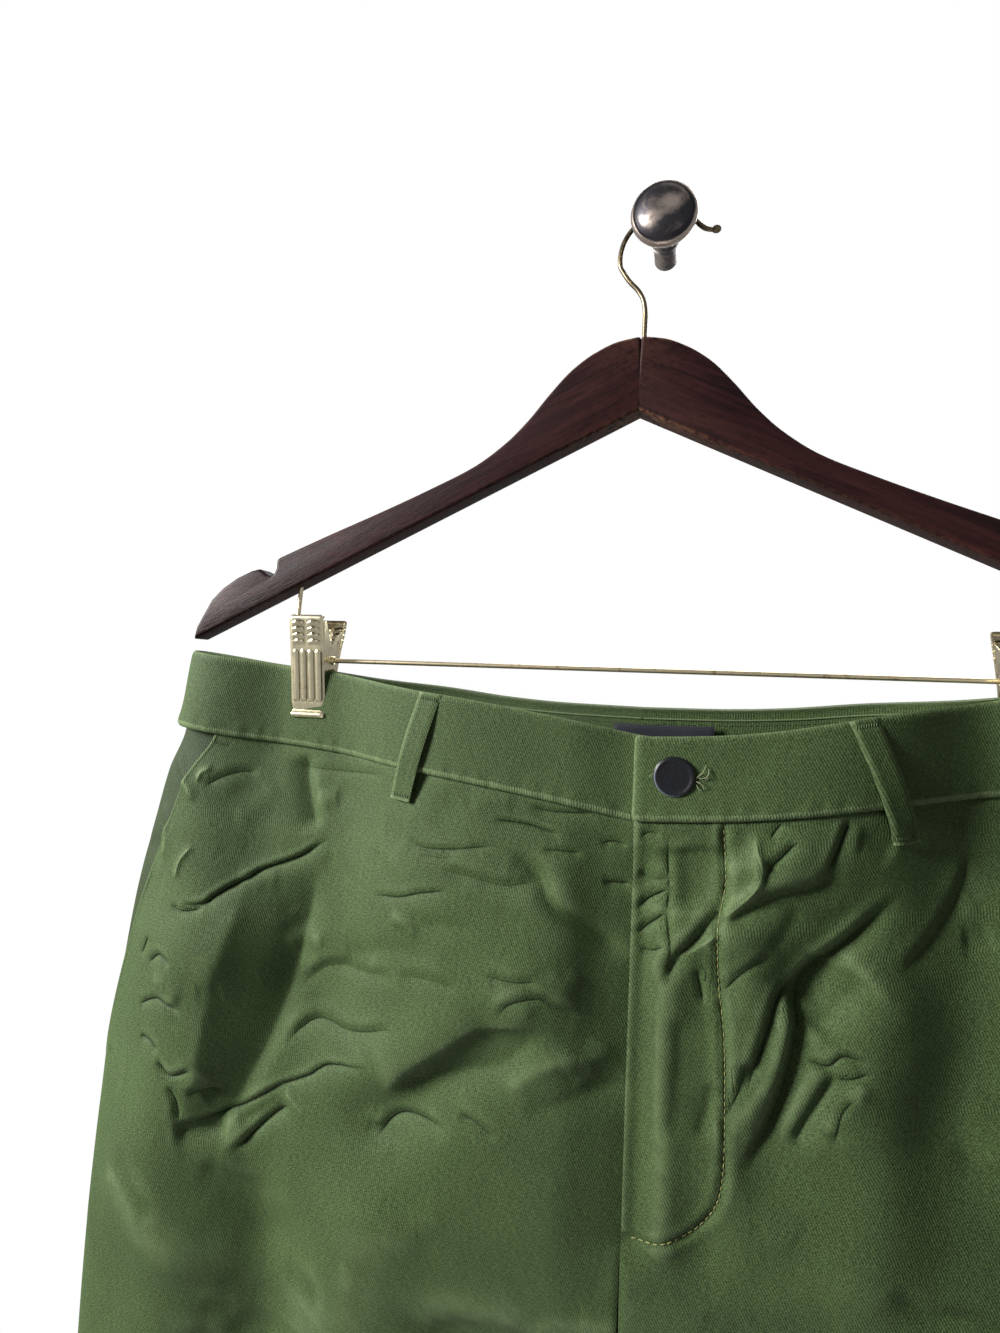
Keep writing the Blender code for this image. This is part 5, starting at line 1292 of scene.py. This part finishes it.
def makeArm(side, material):
    xs = np.concatenate([np.arange(0.0, 75.0, 2.0), np.arange(75.0, 176.0, 4.0), [176.5]])
    outline = [(max(x, hanger["seam"]), float(curveThrough(hanger["top"], x))) for x in xs]
    outline += hanger["notchAndEnd"]
    for x in np.linspace(hanger["tip"], hanger["seam"], 30):
        outline.append((float(x), hanger["bottomCentre"] - hanger["slope"] * float(x)))
    piece = outlinePiece("wood_arm_" + sideName[side], outline, hanger["thick"], hanger["edge"],
                         lambda a, b, through: onHanger(side * a, through, b), 5)
    # wear: the eased edges, most by the joint and the tip
    places = spots(piece)
    x = np.abs(places[:, 0] - hanger["centreX"])
    low = hanger["bottomCentre"] - hanger["slope"] * x
    fromEdge = np.minimum(np.abs(places[:, 2] - low), np.abs(places[:, 2] - curveThrough(hanger["top"], x)))
    byJoint = nearEdge(x, 26.0) + 0.25
    setMark(piece, "wornAndHighlit", nearEdge(fromEdge, 1.1) * byJoint)
    return named(piece, "wood_arm_" + sideName[side], material, ("hanger_arm_" + sideName[side],))


for side in (right, left):
    makeArm(side, woodFinish("mahogany " + sideName[side], -side * math.atan(hanger["slope"])))
print("wooden arms made")

wires = {
    "radius": 1.1, "barHeight": -198.0, "postTopX": 165.1, "barEndX": 168.4, "postTop": -155.0, "corner": 3.0,
    "shank": ((-7.6, -66.0), (-7.6, -52.0), (-7.5, -44.0), (-7.5, -36.5), (-8.5, -30.5), (-11.2, -25.8),
              (-14.9, -21.6), (-17.9, -17.0)),
    "hookRadius": 19.5, "hookCentre": -11.0, "bend": (190.0, 38.0),
    "tip": ((17.7, -0.8), (20.4, -1.7), (22.4, -1.7)), "ball": 1.9, "ballShape": (1.12, 0.82, 0.92),
}


def makeBar(material):
    half = [(wires["postTopX"], wires["postTop"]), (wires["barEndX"], wires["barHeight"] + wires["corner"])]
    for angle in np.radians(np.linspace(9.0, 90.0, 10)):
        half.append((wires["barEndX"] - wires["corner"] * (1.0 - math.cos(angle)),
                     wires["barHeight"] + wires["corner"] * (1.0 - math.sin(angle))))
    points = [onHanger(-x, 0.0, z) for x, z in half] + [onHanger(x, 0.0, z) for x, z in half[::-1]]
    return named(tube("bar_wire", points, wires["radius"], 12), "bar_wire", material, ("hanger_bar",))


def makeHook(material):
    places = list(wires["shank"])
    for angle in np.radians(np.linspace(*wires["bend"], 14)):
        places.append((wires["hookRadius"] * math.cos(angle),
                       wires["hookCentre"] + wires["hookRadius"] * math.sin(angle)))
    places += wires["tip"]
    route = softPath(places, 4)
    swell = np.ones(len(route))
    swell[-10:] = np.linspace(1.0, 0.78, 10)
    line = tube("hook_line", [(x, hanger["middleY"], z) for x, z in route], wires["radius"], 12, swell)
    # the tip is pinched flat and ends in a small ball
    end = Vector((route[-1][0], hanger["middleY"], route[-1][1])) * mm
    bpy.ops.mesh.primitive_uv_sphere_add(segments=28, ring_count=18, radius=wires["ball"] * mm, location=end)
    ball = bpy.context.active_object
    edited(ball, lambda: bpy.ops.transform.resize(value=wires["ballShape"], center_override=end))
    settled(ball)
    rounded(ball, 60.0)
    return named(joined([line, ball]), "hook_wire", material, ("hanger_hook",))


paleBrass = brassFinish("pale brass", (0.86, 0.78, 0.54), (0.50, 0.40, 0.22))
wireBrass = brassFinish("wire brass", (0.80, 0.69, 0.46), (0.34, 0.26, 0.15), 0.24)
hookBrass = brassFinish("hook brass", (0.19, 0.155, 0.10), (0.045, 0.038, 0.026), 0.24)
makeBar(wireBrass)
makeHook(hookBrass)
print("bar and hook made")

turnings = {
    # half outlines from the front to the back: radius, distance out
    "knob": ((0.0, 42.8), (1.8, 42.75), (3.6, 42.6), (5.4, 42.3), (7.4, 41.7), (9.4, 40.8), (11.0, 39.6),
             (12.0, 38.5), (12.35, 38.0), (12.9, 38.0), (13.3, 38.1), (13.9, 37.5), (14.3, 36.5), (14.35, 35.6),
             (14.1, 34.6), (13.5, 33.6), (12.2, 32.6), (10.0, 31.3), (8.4, 30.0), (7.5, 28.4), (7.1, 26.5),
             (7.1, 19.6), (6.8, 18.0), (6.2, 16.0), (5.6, 13.0), (5.4, 10.0), (5.4, 0.3), (5.1, 0.0), (0.0, 0.0)),
    "button": ((0.0, 3.05), (3.0, 3.0), (5.6, 2.95), (6.15, 3.0), (6.6, 3.2), (7.0, 3.35), (7.5, 3.35), (7.85, 3.1),
               (8.0, 2.8), (8.0, 2.65), (7.9, 2.5), (8.1, 2.4), (8.3, 2.2), (8.3, 1.85), (8.1, 1.5),
               (7.0, 1.2), (3.6, 1.0), (3.2, 0.8), (3.2, 0.0), (0.0, 0.0)),
    "knobSteps": 96, "buttonSteps": 72, "buttonX": 15.4, "buttonLevel": -0.52,
}


def turnedPiece(name, outline, steps, seat):
    # the outline is spun about the line out of the wall and stood on its seat
    points = [(radius * mm, 0.0, out * mm) for radius, out in outline]
    piece = newMesh(name, points, [], [(i, i + 1) for i in range(len(points) - 1)])
    applied(piece, "SCREW", steps=steps, render_steps=steps, use_merge_vertices=True, merge_threshold=merged)
    piece.rotation_euler = (math.radians(90.0), 0.0, 0.0)
    piece.location = Vector(seat) * mm
    settled(piece)
    edited(piece, facesTurnedOut)
    rounded(piece, 38.0)
    return piece


def makeKnob(material):
    piece = turnedPiece("knob_turned", turnings["knob"], turnings["knobSteps"], (0.0, 0.0, 0.0))
    places = spots(piece)
    radius = np.hypot(places[:, 0], places[:, 2])
    # rubbed bright on the rim, painted highlights on two patches of the dome, dark in the ring
    wornAndHighlit = 1.2 * nearEdge(radius - 14.1, 0.8) * (places[:, 1] < -33.0)
    wornAndHighlit += 0.9 * np.exp(-(((places[:, 0] + 5.0) / 4.0) ** 2 + ((places[:, 2] + 4.5) / 2.6) ** 2))
    wornAndHighlit += 1.0 * np.exp(-(((places[:, 0] - 3.0) / 3.6) ** 2 + ((places[:, 2] - 1.0) / 3.2) ** 2))
    wornAndHighlit -= 0.9 * nearEdge(radius - 12.3, 0.45)
    setMark(piece, "wornAndHighlit", wornAndHighlit)
    return named(piece, "knob_turned", material, ("wall_knob",))


def makeButton(material):
    row = formAt(np.array(turnings["buttonLevel"]))
    seat = clothAt(front, left, acrossOf(row, turnings["buttonX"]), turnings["buttonLevel"],
                   garment["bandWall"] / 2 + garment["gap"], False)
    seat = inRoom(seat) / mm
    piece = turnedPiece("button_turned", turnings["button"], turnings["buttonSteps"], tuple(seat))
    places = spots(piece) - seat
    radius = np.hypot(places[:, 0], places[:, 2])
    # a painted highlight on the rim's lower left
    setMark(piece, "wornAndHighlit", 2.2 * nearEdge(radius - 7.9, 0.35) * (places[:, 1] < -2.6)
         * np.clip(-0.1 - 0.10 * places[:, 0] - 0.08 * places[:, 2], 0.0, 1.0))
    named(piece, "button_turned", material, ("button",))
    return seat


makeKnob(ironFinish("antique iron"))
buttonSeat = makeButton(buttonFinish())
print("knob and button made")


# clips

clip = {
    "x": 155.4, "width": 17.4, "sheet": 0.9, "barHeight": -198.0,
    "front": ((-10.9, -177.5), (-11.5, -177.0), (-12.0, -177.5), (-11.8, -180.0), (-9.4, -198.5), (-6.75, -220.6),
              (-6.7, -222.4), (-7.1, -223.6), (-7.9, -224.3), (-8.2, -225.0), (-7.6, -225.5)),
    "back": ((15.4, -177.6), (16.0, -178.2), (15.2, -180.4), (8.4, -198.5), (2.9, -221.0), (3.0, -222.8),
             (3.9, -224.0), (3.8, -225.2)),
    "frontEar": ((-10.8, -179.4), (-8.0, -178.8), (-6.0, -182.0), (-3.4, -188.6), (1.2, -191.8), (4.0, -194.2),
                 (4.9, -198.0), (3.4, -200.9), (0.6, -202.2), (-3.6, -202.4), (-6.4, -204.0), (-8.3, -207.6)),
    "backEar": ((13.0, -182.0), (6.0, -186.0), (-2.0, -193.2), (-4.2, -196.0), (-4.2, -199.6), (-1.6, -201.6),
                (3.0, -202.0), (6.4, -203.4)),
    "louvres": {"first": 3.2, "pitch": 3.05, "centre": 4.05, "half": 3.2, "drop": 2.2, "height": 0.75},
    "ribs": {"count": 4, "pitch": 3.95, "top": 17.6, "bottom": 42.6, "half": 0.95, "height": 0.55},
    "cells": (50, 120), "earEdge": 0.22, "hole": 1.45, "backNarrower": 2.6,
    "ring": {"away": 9.1, "radius": 1.75, "thick": 0.5},
    "spring": {"turns": 5, "steps": 14, "radius": 2.15, "wire": 0.42, "start": -4.6, "long": 9.2},
}


def alongProfile(points, count):
    # even steps along a side view, with where they lie and their outward direction
    route = softPath(points, 8)
    gone = np.concatenate(([0.0], np.cumsum(np.hypot(*np.diff(route, axis=0).T))))
    steps = np.linspace(0.0, gone[-1], count)
    places = np.stack([np.interp(steps, gone, route[:, 0]), np.interp(steps, gone, route[:, 1])], axis=-1)
    run = np.gradient(places, axis=0)
    run /= np.linalg.norm(run, axis=1, keepdims=True)
    return places, np.stack([run[:, 1], -run[:, 0]], axis=-1), steps


def stampedRelief(a, t, louvreRows):
    # how far the sheet is pressed out, at a across and t down from the top edge
    rows, ribs = clip["louvres"], clip["ribs"]
    lift = np.zeros(a.shape)
    for hand in (-1, 1):
        for row in range(louvreRows):
            da = (a - hand * rows["centre"]) / rows["half"]
            dt = t - rows["first"] - rows["pitch"] * row - 0.7 * da ** 2
            hood = np.clip(1.0 - np.abs(da) ** 3, 0.0, 1.0) ** 0.6
            lift += rows["height"] * hood * smooth(dt / 0.22) * np.clip(1.0 - dt / rows["drop"], 0.0, 1.0)
            lift -= 0.55 * hood * nearEdge(dt + 0.30, 0.26)
    for number in range(ribs["count"]):
        da = a - (number - (ribs["count"] - 1) / 2) * ribs["pitch"]
        end = np.maximum(np.maximum(ribs["top"] + 1.0 - t, t - ribs["bottom"] + 1.0), 0.0)
        lift += ribs["height"] * smooth((ribs["half"] + 0.35 - np.hypot(da, end)) / 0.6) * (louvreRows > 3)
        groove = np.hypot(da - 1.55, end)
        lift -= 0.40 * smooth((0.62 - groove) / 0.4) * (louvreRows > 3)
    return lift


def clipPlate(side, points, width, facing, louvreRows, top=0.0):
    bpy.ops.mesh.primitive_grid_add(x_subdivisions=clip["cells"][0], y_subdivisions=clip["cells"][1], size=1.0)
    piece = bpy.context.active_object
    mesh = piece.data
    flat = np.empty(len(mesh.vertices) * 3)
    mesh.vertices.foreach_get("co", flat)
    flat = flat.reshape(-1, 3)
    rows = np.rint((0.5 - flat[:, 1]) * clip["cells"][1]).astype(int)
    profile, outward, down = alongProfile(points, clip["cells"][1] + 1)
    a = flat[:, 0] * width
    # a slightly wider lip
    a = a * (1.0 + 0.05 * smooth((down[rows] - down[-1] + 4.0) / 1.5))
    lift = stampedRelief(a, down[rows] - top, louvreRows) * smooth((down[-1] - 4.5 - down[rows]) / 1.0)
    lift -= 0.5 * nearEdge(width / 2 - np.abs(a), 0.7)
    # painted shade lies on the steps and in the hollows of the pressing
    t, near = down[rows] - top, 0.18
    steps = (np.abs(stampedRelief(a + near, t, louvreRows) - stampedRelief(a - near, t, louvreRows))
             + np.abs(stampedRelief(a, t + near, louvreRows) - stampedRelief(a, t - near, louvreRows)))
    paintedRecessShade = np.clip(1.5 * steps - 0.15 + np.clip(-2.0 * stampedRelief(a, t, louvreRows), 0.0, 1.0), 0.0, 1.0)
    setMark(piece, "paintedRecessShade", paintedRecessShade)
    place = profile[rows] + facing * outward[rows] * lift[:, None]
    x = side * clip["x"] + hanger["centreX"] + a
    spotsNow = np.stack([x, place[:, 0] + hanger["middleY"], place[:, 1]], axis=-1) * mm
    mesh.vertices.foreach_set("co", spotsNow.ravel())
    mesh.update()
    if facing > 0:
        mesh.flip_normals()
    applied(piece, "SOLIDIFY", thickness=clip["sheet"] * mm, offset=-1.0, use_even_offset=False)
    rounded(piece, 60.0)
    return piece


def clipEar(name, side, hand, width, outline):
    centre = side * clip["x"] + hand * (width / 2 - clip["sheet"] / 2)
    piece = outlinePiece(name, outline, clip["sheet"], clip["earEdge"],
                         lambda a, b, through: onHanger(centre + through, a, b), 2)
    bpy.ops.mesh.primitive_cylinder_add(vertices=32, radius=clip["hole"] * mm, depth=4.0 * mm,
                                        location=Vector(onHanger(centre, 0.0, clip["barHeight"])) * mm,
                                        rotation=(0.0, math.radians(90.0), 0.0))
    hole = bpy.context.active_object
    select(piece)
    cut = piece.modifiers.new("hole", "BOOLEAN")
    cut.operation, cut.object = "DIFFERENCE", hole
    bpy.ops.object.modifier_apply(modifier="hole")
    bpy.data.objects.remove(hole, do_unlink=True)
    rounded(piece, 35.0)
    return piece


def springRoute(side):
    # a torsion spring round the bar, its two arms on the plates
    spring, centre = clip["spring"], side * clip["x"]
    steps, radius = spring["turns"] * spring["steps"], spring["radius"]
    points = [onHanger(centre - 5.0, -7.4, -210.0), onHanger(centre - 4.9, -3.6, -203.0)]
    for step in range(steps + 1):
        angle = 2 * math.pi * step / spring["steps"]
        points.append(onHanger(centre + spring["start"] + spring["long"] * step / steps, -radius * math.cos(angle),
                               clip["barHeight"] + radius * math.sin(angle)))
    return points + [onHanger(centre + 4.9, 0.6, -203.0), onHanger(centre + 5.0, 3.6, -210.0)]


def makeRing(side, hand):
    # the bar's end shows as a rolled ring outside each ear
    ring = clip["ring"]
    place = onHanger(side * clip["x"] + hand * ring["away"], 0.0, clip["barHeight"])
    bpy.ops.mesh.primitive_torus_add(major_segments=40, minor_segments=12, major_radius=ring["radius"] * mm,
                                     minor_radius=ring["thick"] * mm, rotation=(0.0, math.radians(90.0), 0.0),
                                     location=Vector(place) * mm)
    piece = bpy.context.active_object
    settled(piece)
    rounded(piece, 60.0)
    return piece


def makeClip(side):
    width, hands = clip["width"], (-1, 1)
    parts = [clipPlate(side, clip["front"], width, 1, 4)]
    parts += [clipEar("front_ear", side, hand, width, clip["frontEar"]) for hand in hands]
    parts += [makeRing(side, hand) for hand in hands]
    parts.append(tube("spring", springRoute(side), clip["spring"]["wire"], 6))
    name = "clip_front_" + sideName[side]
    named(joined(parts), "stamped_" + name, paleBrass, (name,))
    width = clip["width"] - clip["backNarrower"]
    parts = [clipPlate(side, clip["back"], width, -1, 3, 1.0)]
    parts += [clipEar("back_ear", side, hand, width, clip["backEar"]) for hand in hands]
    name = "clip_back_" + sideName[side]
    named(joined(parts), "stamped_" + name, paleBrass, (name,))


for side in (right, left):
    makeClip(side)
print("clips made")


# sewing

def stitchShape():
    # one stitch, a small round-ended peg one unit long and one across
    bpy.ops.mesh.primitive_uv_sphere_add(segments=6, ring_count=5, radius=0.5)
    piece = bpy.context.active_object
    points = spots(piece) * mm
    faces = [list(face.vertices) for face in piece.data.polygons]
    bpy.data.objects.remove(piece, do_unlink=True)
    return points, faces


stitchPoints, stitchFaces = stitchShape()


def sewn(name, ends, thick, material):
    # copies of the stitch from each start to each end
    points, faces = [], []
    for start, end in ends:
        # a place off the piece has no seat
        if start is None or end is None:
            continue
        run = end - start
        length = np.linalg.norm(run)
        run = run / length
        sideways = np.cross(run, (0.0, 1.0, 0.0))
        sideways /= np.linalg.norm(sideways)
        through = np.cross(run, sideways)
        shape = (np.outer(stitchPoints[:, 2] * length, run) + np.outer(stitchPoints[:, 0] * thick, sideways)
                 + np.outer(stitchPoints[:, 1] * thick, through))
        faces += [[i + len(points) for i in face] for face in stitchFaces]
        points += list((start + end) / 2 + shape)
    piece = newMesh(name, np.array(points) * mm, faces)
    edited(piece, facesTurnedOut)
    rounded(piece, 80.0)
    return named(piece, name, material)


def stitchesAlong(route, pitch, length):
    # starts and ends along a route, a little uneven
    gone = np.concatenate(([0.0], np.cumsum(np.linalg.norm(np.diff(route, axis=0), axis=1))))
    starts = np.arange(0.0, gone[-1] - length, pitch)
    dice = np.random.default_rng(len(starts))
    starts = starts + dice.uniform(-0.12, 0.12, len(starts))
    return [np.stack([np.interp(at, gone, axis) for axis in route.T], axis=-1) for at in (starts, starts + length)]


def seatOn(piece):
    # finds the outermost place of a piece at a distance from the centre and a height, looking along "towards"
    points = [tuple(spot) for spot in spots(piece)]
    tree = BVHTree.FromPolygons(points, [tuple(face.vertices) for face in piece.data.polygons])

    def seat(x, z, towards, proud, start=200.0):
        origin = Vector((x + garment["centreX"], -towards * start, z))
        hit = tree.ray_cast(origin, Vector((0.0, towards, 0.0)))[0]
        return None if hit is None else np.array(hit) - np.array([0.0, towards * proud, 0.0])
    return seat


def rowOn(seat, route, row, towards, start=200.0):
    # stitches on the cloth along a route of (distance from the centre, height)
    first, last = stitchesAlong(np.asarray(route, dtype=float), row["pitch"], row["length"])
    proud = row["thick"] * sewing["sunk"]
    return [[seat(x, z, towards, proud, start) for x, z in pair] for pair in zip(first, last)]


def tackOn(placeAt, count, length):
    # a bar of short stitches side by side; placeAt gives a place by share across and millimetres down
    return [(placeAt(share, -length / 2), placeAt(share, length / 2)) for share in np.linspace(0.0, 1.0, count)]


def liningHeight(side, x):
    # the top of the back's band
    row = formAt(np.array(-1.0))
    return float(seamHeight(back, side, np.array(x), row) + bandHeight(back, side, np.array(x), row))


def makeSewing():
    green = threadFinish("green thread", (0.105, 0.150, 0.055))
    olive = threadFinish("olive thread", (0.30, 0.29, 0.09))
    seats = {key: seatOn(made[0]) for key, made in panels.items()}
    sewn("thread_fly", rowOn(seats["front", left], flyRoute, sewing["fly"], 1), sewing["fly"]["thick"], olive)
    hem, tacks, lining, piping = [], [], [], []
    for kind, towards in (("front", 1), ("back", -1)):
        for side in (right, left):
            xs = np.linspace(*sewing["hem"]["x"], 40)
            route = [(side * x, garment["hem"] + sewing["hem"]["above"]) for x in xs]
            hem += rowOn(seats[kind, side], route, sewing["hem"], towards)
    sewn("thread_hem", hem, sewing["hem"]["thick"], green)
    (x0, z0), (x1, z1) = sewing["pocketTack"]
    for side in (right, left):
        def pocketAt(share, down, side=side):
            x, z = -side * mix(x0, x1, share), mix(z0, z1, share) - down
            return seats["front", side](x, z, 1, sewing["tack"]["proud"])
        tacks += tackOn(pocketAt, 9, sewing["tack"]["length"])
    for kind, side in loop["kinds"]:
        place, seat = loopPlace(kind, side), seats["loop", "%s_%s" % (kind, sideName[side])]
        towards = 1 if kind == "front" else -1
        for end in sewing["loopTacks"]:
            def loopEnd(share, down, place=place, end=end, seat=seat, towards=towards):
                spot = place(np.array([[0.12 + 0.76 * share]]), np.array([[end]]))[0, 0]
                return seat(spot[0], spot[2] - down, towards, sewing["tack"]["proud"])
            tacks += tackOn(loopEnd, 9, 1.5)
    for side in (right, left):
        seat, middle = seats["band", side], garment["middleY"]
        for share in (2.0, 4.0):
            def insideAt(across, down, side=side, share=share, seat=seat):
                x = side * (sewing["insideTacks"][0] * (across - 0.5) + sewing["insideTacks"][1])
                return seat(x, liningHeight(side, abs(x)) - 1.1 * share + down * 0.55, 1, 0.1, -middle)
            tacks += tackOn(insideAt, 11, sewing["tack"]["length"])
        xs = np.linspace(0.6, 205.0, 90)
        tops = np.array([liningHeight(side, x) for x in xs]) - sewing["lining"]["pipingBelow"]
        path = [seat(side * x, top, 1, 0.15, -middle) for x, top in zip(xs, tops)]
        path = [spot for spot in path if spot is not None]
        piping.append(tube("piping", np.array(path), sewing["lining"]["piping"], 6))
        under = np.stack([side * xs, tops - sewing["lining"]["rowBelow"]], axis=-1)
        lining += rowOn(seat, under, sewing["lining"], 1, -middle)
    sewn("thread_tacks", tacks, sewing["tack"]["thick"], green)
    sewn("thread_lining", lining, sewing["lining"]["thick"], threadFinish("dark thread", (0.016, 0.026, 0.010)))
    named(joined(piping), "piping_lining", green)
    makeButtonhole(seats["band", left], green)


def makeButtonhole(seat, thread):
    facts = sewing["buttonhole"]
    middleZ, ends = float(buttonSeat[2]), []
    for turn in np.linspace(0.0, 2 * math.pi, facts["count"], endpoint=False):
        outX, outZ = math.cos(turn), math.sin(turn)
        ends.append([seat(facts["middle"] + (facts["half"] + reach) * outX,
                          middleZ + (facts["open"] + reach) * outZ, 1, 0.1) for reach in (-0.2, facts["length"])])
    sewn("thread_buttonhole", ends, facts["thick"], thread)
    strands = []
    for places in sewing["frayed"]:
        path = softPath([place[:2] for place in places], 5)
        off = np.interp(np.linspace(0.0, 1.0, len(path)), np.linspace(0.0, 1.0, len(places)),
                        [place[2] for place in places])
        strand = [seat(x, z, 1, proud) for (x, z), proud in zip(path, off)]
        strands.append(tube("strand", np.array(strand), sewing["looseThread"], 4))
    named(joined(strands), "thread_frayed", threadFinish("pale thread", (0.27, 0.31, 0.15)))


makeSewing()
print("sewing made")


# the zip behind the fly

def behindZip(z, off):
    teeth = fly["teeth"]
    return inRoom(clothSpots(front, left, teeth["x"], z, -teeth["behind"] - off)) / mm


def block(size, bevel, segments, at=(0.0, 0.0, 0.0)):
    bpy.ops.mesh.primitive_cube_add(size=1.0, location=Vector(at) * mm)
    piece = bpy.context.active_object
    piece.scale = Vector(size) * mm
    settled(piece)
    applied(piece, "BEVEL", width=bevel * mm, segments=segments)
    return piece


def makeZip(material):
    teeth, pull = fly["teeth"], fly["pull"]
    tooth = block(teeth["size"], teeth["bevel"], 1)
    shape = spots(tooth)
    faces = [list(face.vertices) for face in tooth.data.polygons]
    bpy.data.objects.remove(tooth, do_unlink=True)
    points, sides = [], []
    for number, z in enumerate(np.arange(teeth["first"], teeth["last"], -teeth["pitch"] / 2)):
        shift = np.array([teeth["apart"] if number % 2 else -teeth["apart"], 0.0, 0.0])
        sides += [[i + len(points) for i in face] for face in faces]
        points += list(shape + behindZip(z, 0.2) + shift)
    row = newMesh("teeth_row", np.array(points) * mm, sides)
    rounded(row, 30.0)
    named(row, "zip_teeth", material)
    seat = Vector(behindZip(pull["height"], -0.1))
    parts = []
    for size, at, bevel in pull["blocks"]:
        parts.append(block(size, bevel, 2, seat + Vector(at)))
        rounded(parts[-1], 40.0)
    radius, thick = pull["ring"]
    bpy.ops.mesh.primitive_torus_add(major_segments=24, minor_segments=8, major_radius=radius * mm,
                                     minor_radius=thick * mm, location=(seat + Vector(pull["ringAt"])) * mm,
                                     rotation=(math.radians(90.0), 0.0, 0.0))
    bail = bpy.context.active_object
    settled(bail)
    rounded(bail, 60.0)
    named(joined(parts + [bail]), "zip_pull", material, ("zip_slider",))


makeZip(brassFinish("zip brass", (0.60, 0.47, 0.24), (0.20, 0.15, 0.08), 0.30))
print("zip made")


# what the cloth was cut to

cuts = {
    # widest, longest and flat area of each piece, in metres
    ("front", right): (0.312, 0.484, 0.130), ("front", left): (0.309, 0.481, 0.130),
    ("back", right): (0.302, 0.480, 0.130), ("back", left): (0.302, 0.480, 0.130),
    ("pocket", right): (0.075, 0.168, 0.0058), ("pocket", left): (0.075, 0.168, 0.0058),
    ("band", right): (0.524, 0.038, None), ("band", left): (0.489, 0.038, None),
    ("shield", left): (0.047, 0.168, None), ("tape", left): (0.025, 0.118, None),
    ("label", left): (0.045, 0.022, None), ("loop", None): (0.0104, 0.056, None),
}
for key, (piece, size) in panels.items():
    widest, longest, area = cuts[key] if key in cuts else cuts["loop", None]


# the room

room = {
    "camera": {"place": (0.0141, -0.3564, -0.2027), "yaw": -14.09, "pitch": -0.75, "roll": 1.98, "lens": 19.742},
    "floor": {"height": -0.765, "middle": (0.0, -0.15), "radius": 0.34},
    "key": {"place": (-1.25, -0.68, 0.28), "size": 0.4, "power": 54.0, "colour": (1.0, 0.985, 0.96)},
    "fill": {"place": (1.1, -1.4, -0.1), "size": 1.6, "power": 2.0, "colour": (0.95, 0.98, 1.0)},
    "behind": {"place": (0.2, 1.4, 0.9), "size": 1.4, "power": 26.0, "colour": (1.0, 1.0, 1.0)},
    "aim": (0.0, -0.03, -0.35), "ambient": 0.048, "glossy": 0.30, "seen": 1.0,
}


def makeCamera():
    facts = room["camera"]
    roll, pitch, yaw = [Matrix.Rotation(math.radians(facts[name]), 3, axis)
                        for name, axis in (("roll", "Y"), ("pitch", "X"), ("yaw", "Z"))]
    turn = (roll @ pitch @ yaw).transposed()
    data = bpy.data.cameras.new("camera")
    data.lens = facts["lens"]
    data.clip_start = 0.01
    camera = bpy.data.objects.new("camera", data)
    axes = Matrix([turn @ Vector(axis) for axis in ((1, 0, 0), (0, 0, 1), (0, -1, 0))]).transposed()
    camera.matrix_world = Matrix.Translation(facts["place"]) @ axes.to_4x4()
    scene.collection.objects.link(camera)
    scene.camera = camera


def makeLight(name):
    facts = room[name]
    data = bpy.data.lights.new(name, "AREA")
    data.size, data.energy, data.color = facts["size"], facts["power"], facts["colour"]
    light = bpy.data.objects.new(name, data)
    away = Vector(room["aim"]) - Vector(facts["place"])
    light.matrix_world = Matrix.Translation(facts["place"]) @ away.to_track_quat("-Z", "Y").to_matrix().to_4x4()
    scene.collection.objects.link(light)


def makeFloor():
    facts = room["floor"]
    bpy.ops.mesh.primitive_cylinder_add(vertices=96, radius=facts["radius"], depth=0.01,
                                        location=(*facts["middle"], facts["height"] - 0.005))
    floor = bpy.context.active_object
    settled(floor)
    floor.name = "floor"
    pale = Finish("pale floor")
    grain = pale.noise(pale.place(), 6.0, 3.0)
    floor.data.materials.append(pale.finish(Base_Color=pale.blend(grain, (0.74, 0.73, 0.71), (0.80, 0.79, 0.77)),
                                            Roughness=0.5 + 0.1 * grain))


def makeWorld():
    world = bpy.data.worlds.new("studio")
    scene.world = world
    world.use_nodes = True
    tree = world.node_tree
    tree.nodes.clear()
    out = tree.nodes.new("ShaderNodeOutputWorld")
    path = tree.nodes.new("ShaderNodeLightPath")
    shaders = {}
    for kind in ("ambient", "glossy", "seen"):
        shaders[kind] = tree.nodes.new("ShaderNodeBackground")
        shaders[kind].inputs[1].default_value = room[kind]
        shaders[kind].inputs[0].default_value = (1.0, 1.0, 1.0, 1.0)
    shown = shaders["ambient"]
    for kind, ray in (("glossy", "Is Glossy Ray"), ("seen", "Is Camera Ray")):
        mixed = tree.nodes.new("ShaderNodeMixShader")
        tree.links.new(path.outputs[ray], mixed.inputs[0])
        tree.links.new(shown.outputs[0], mixed.inputs[1])
        tree.links.new(shaders[kind].outputs[0], mixed.inputs[2])
        shown = mixed
    tree.links.new(shown.outputs[0], out.inputs[0])


makeCamera()
for name in ("key", "fill", "behind"):
    makeLight(name)
makeFloor()
makeWorld()
scene.view_settings.view_transform = "Standard"
print("room made")
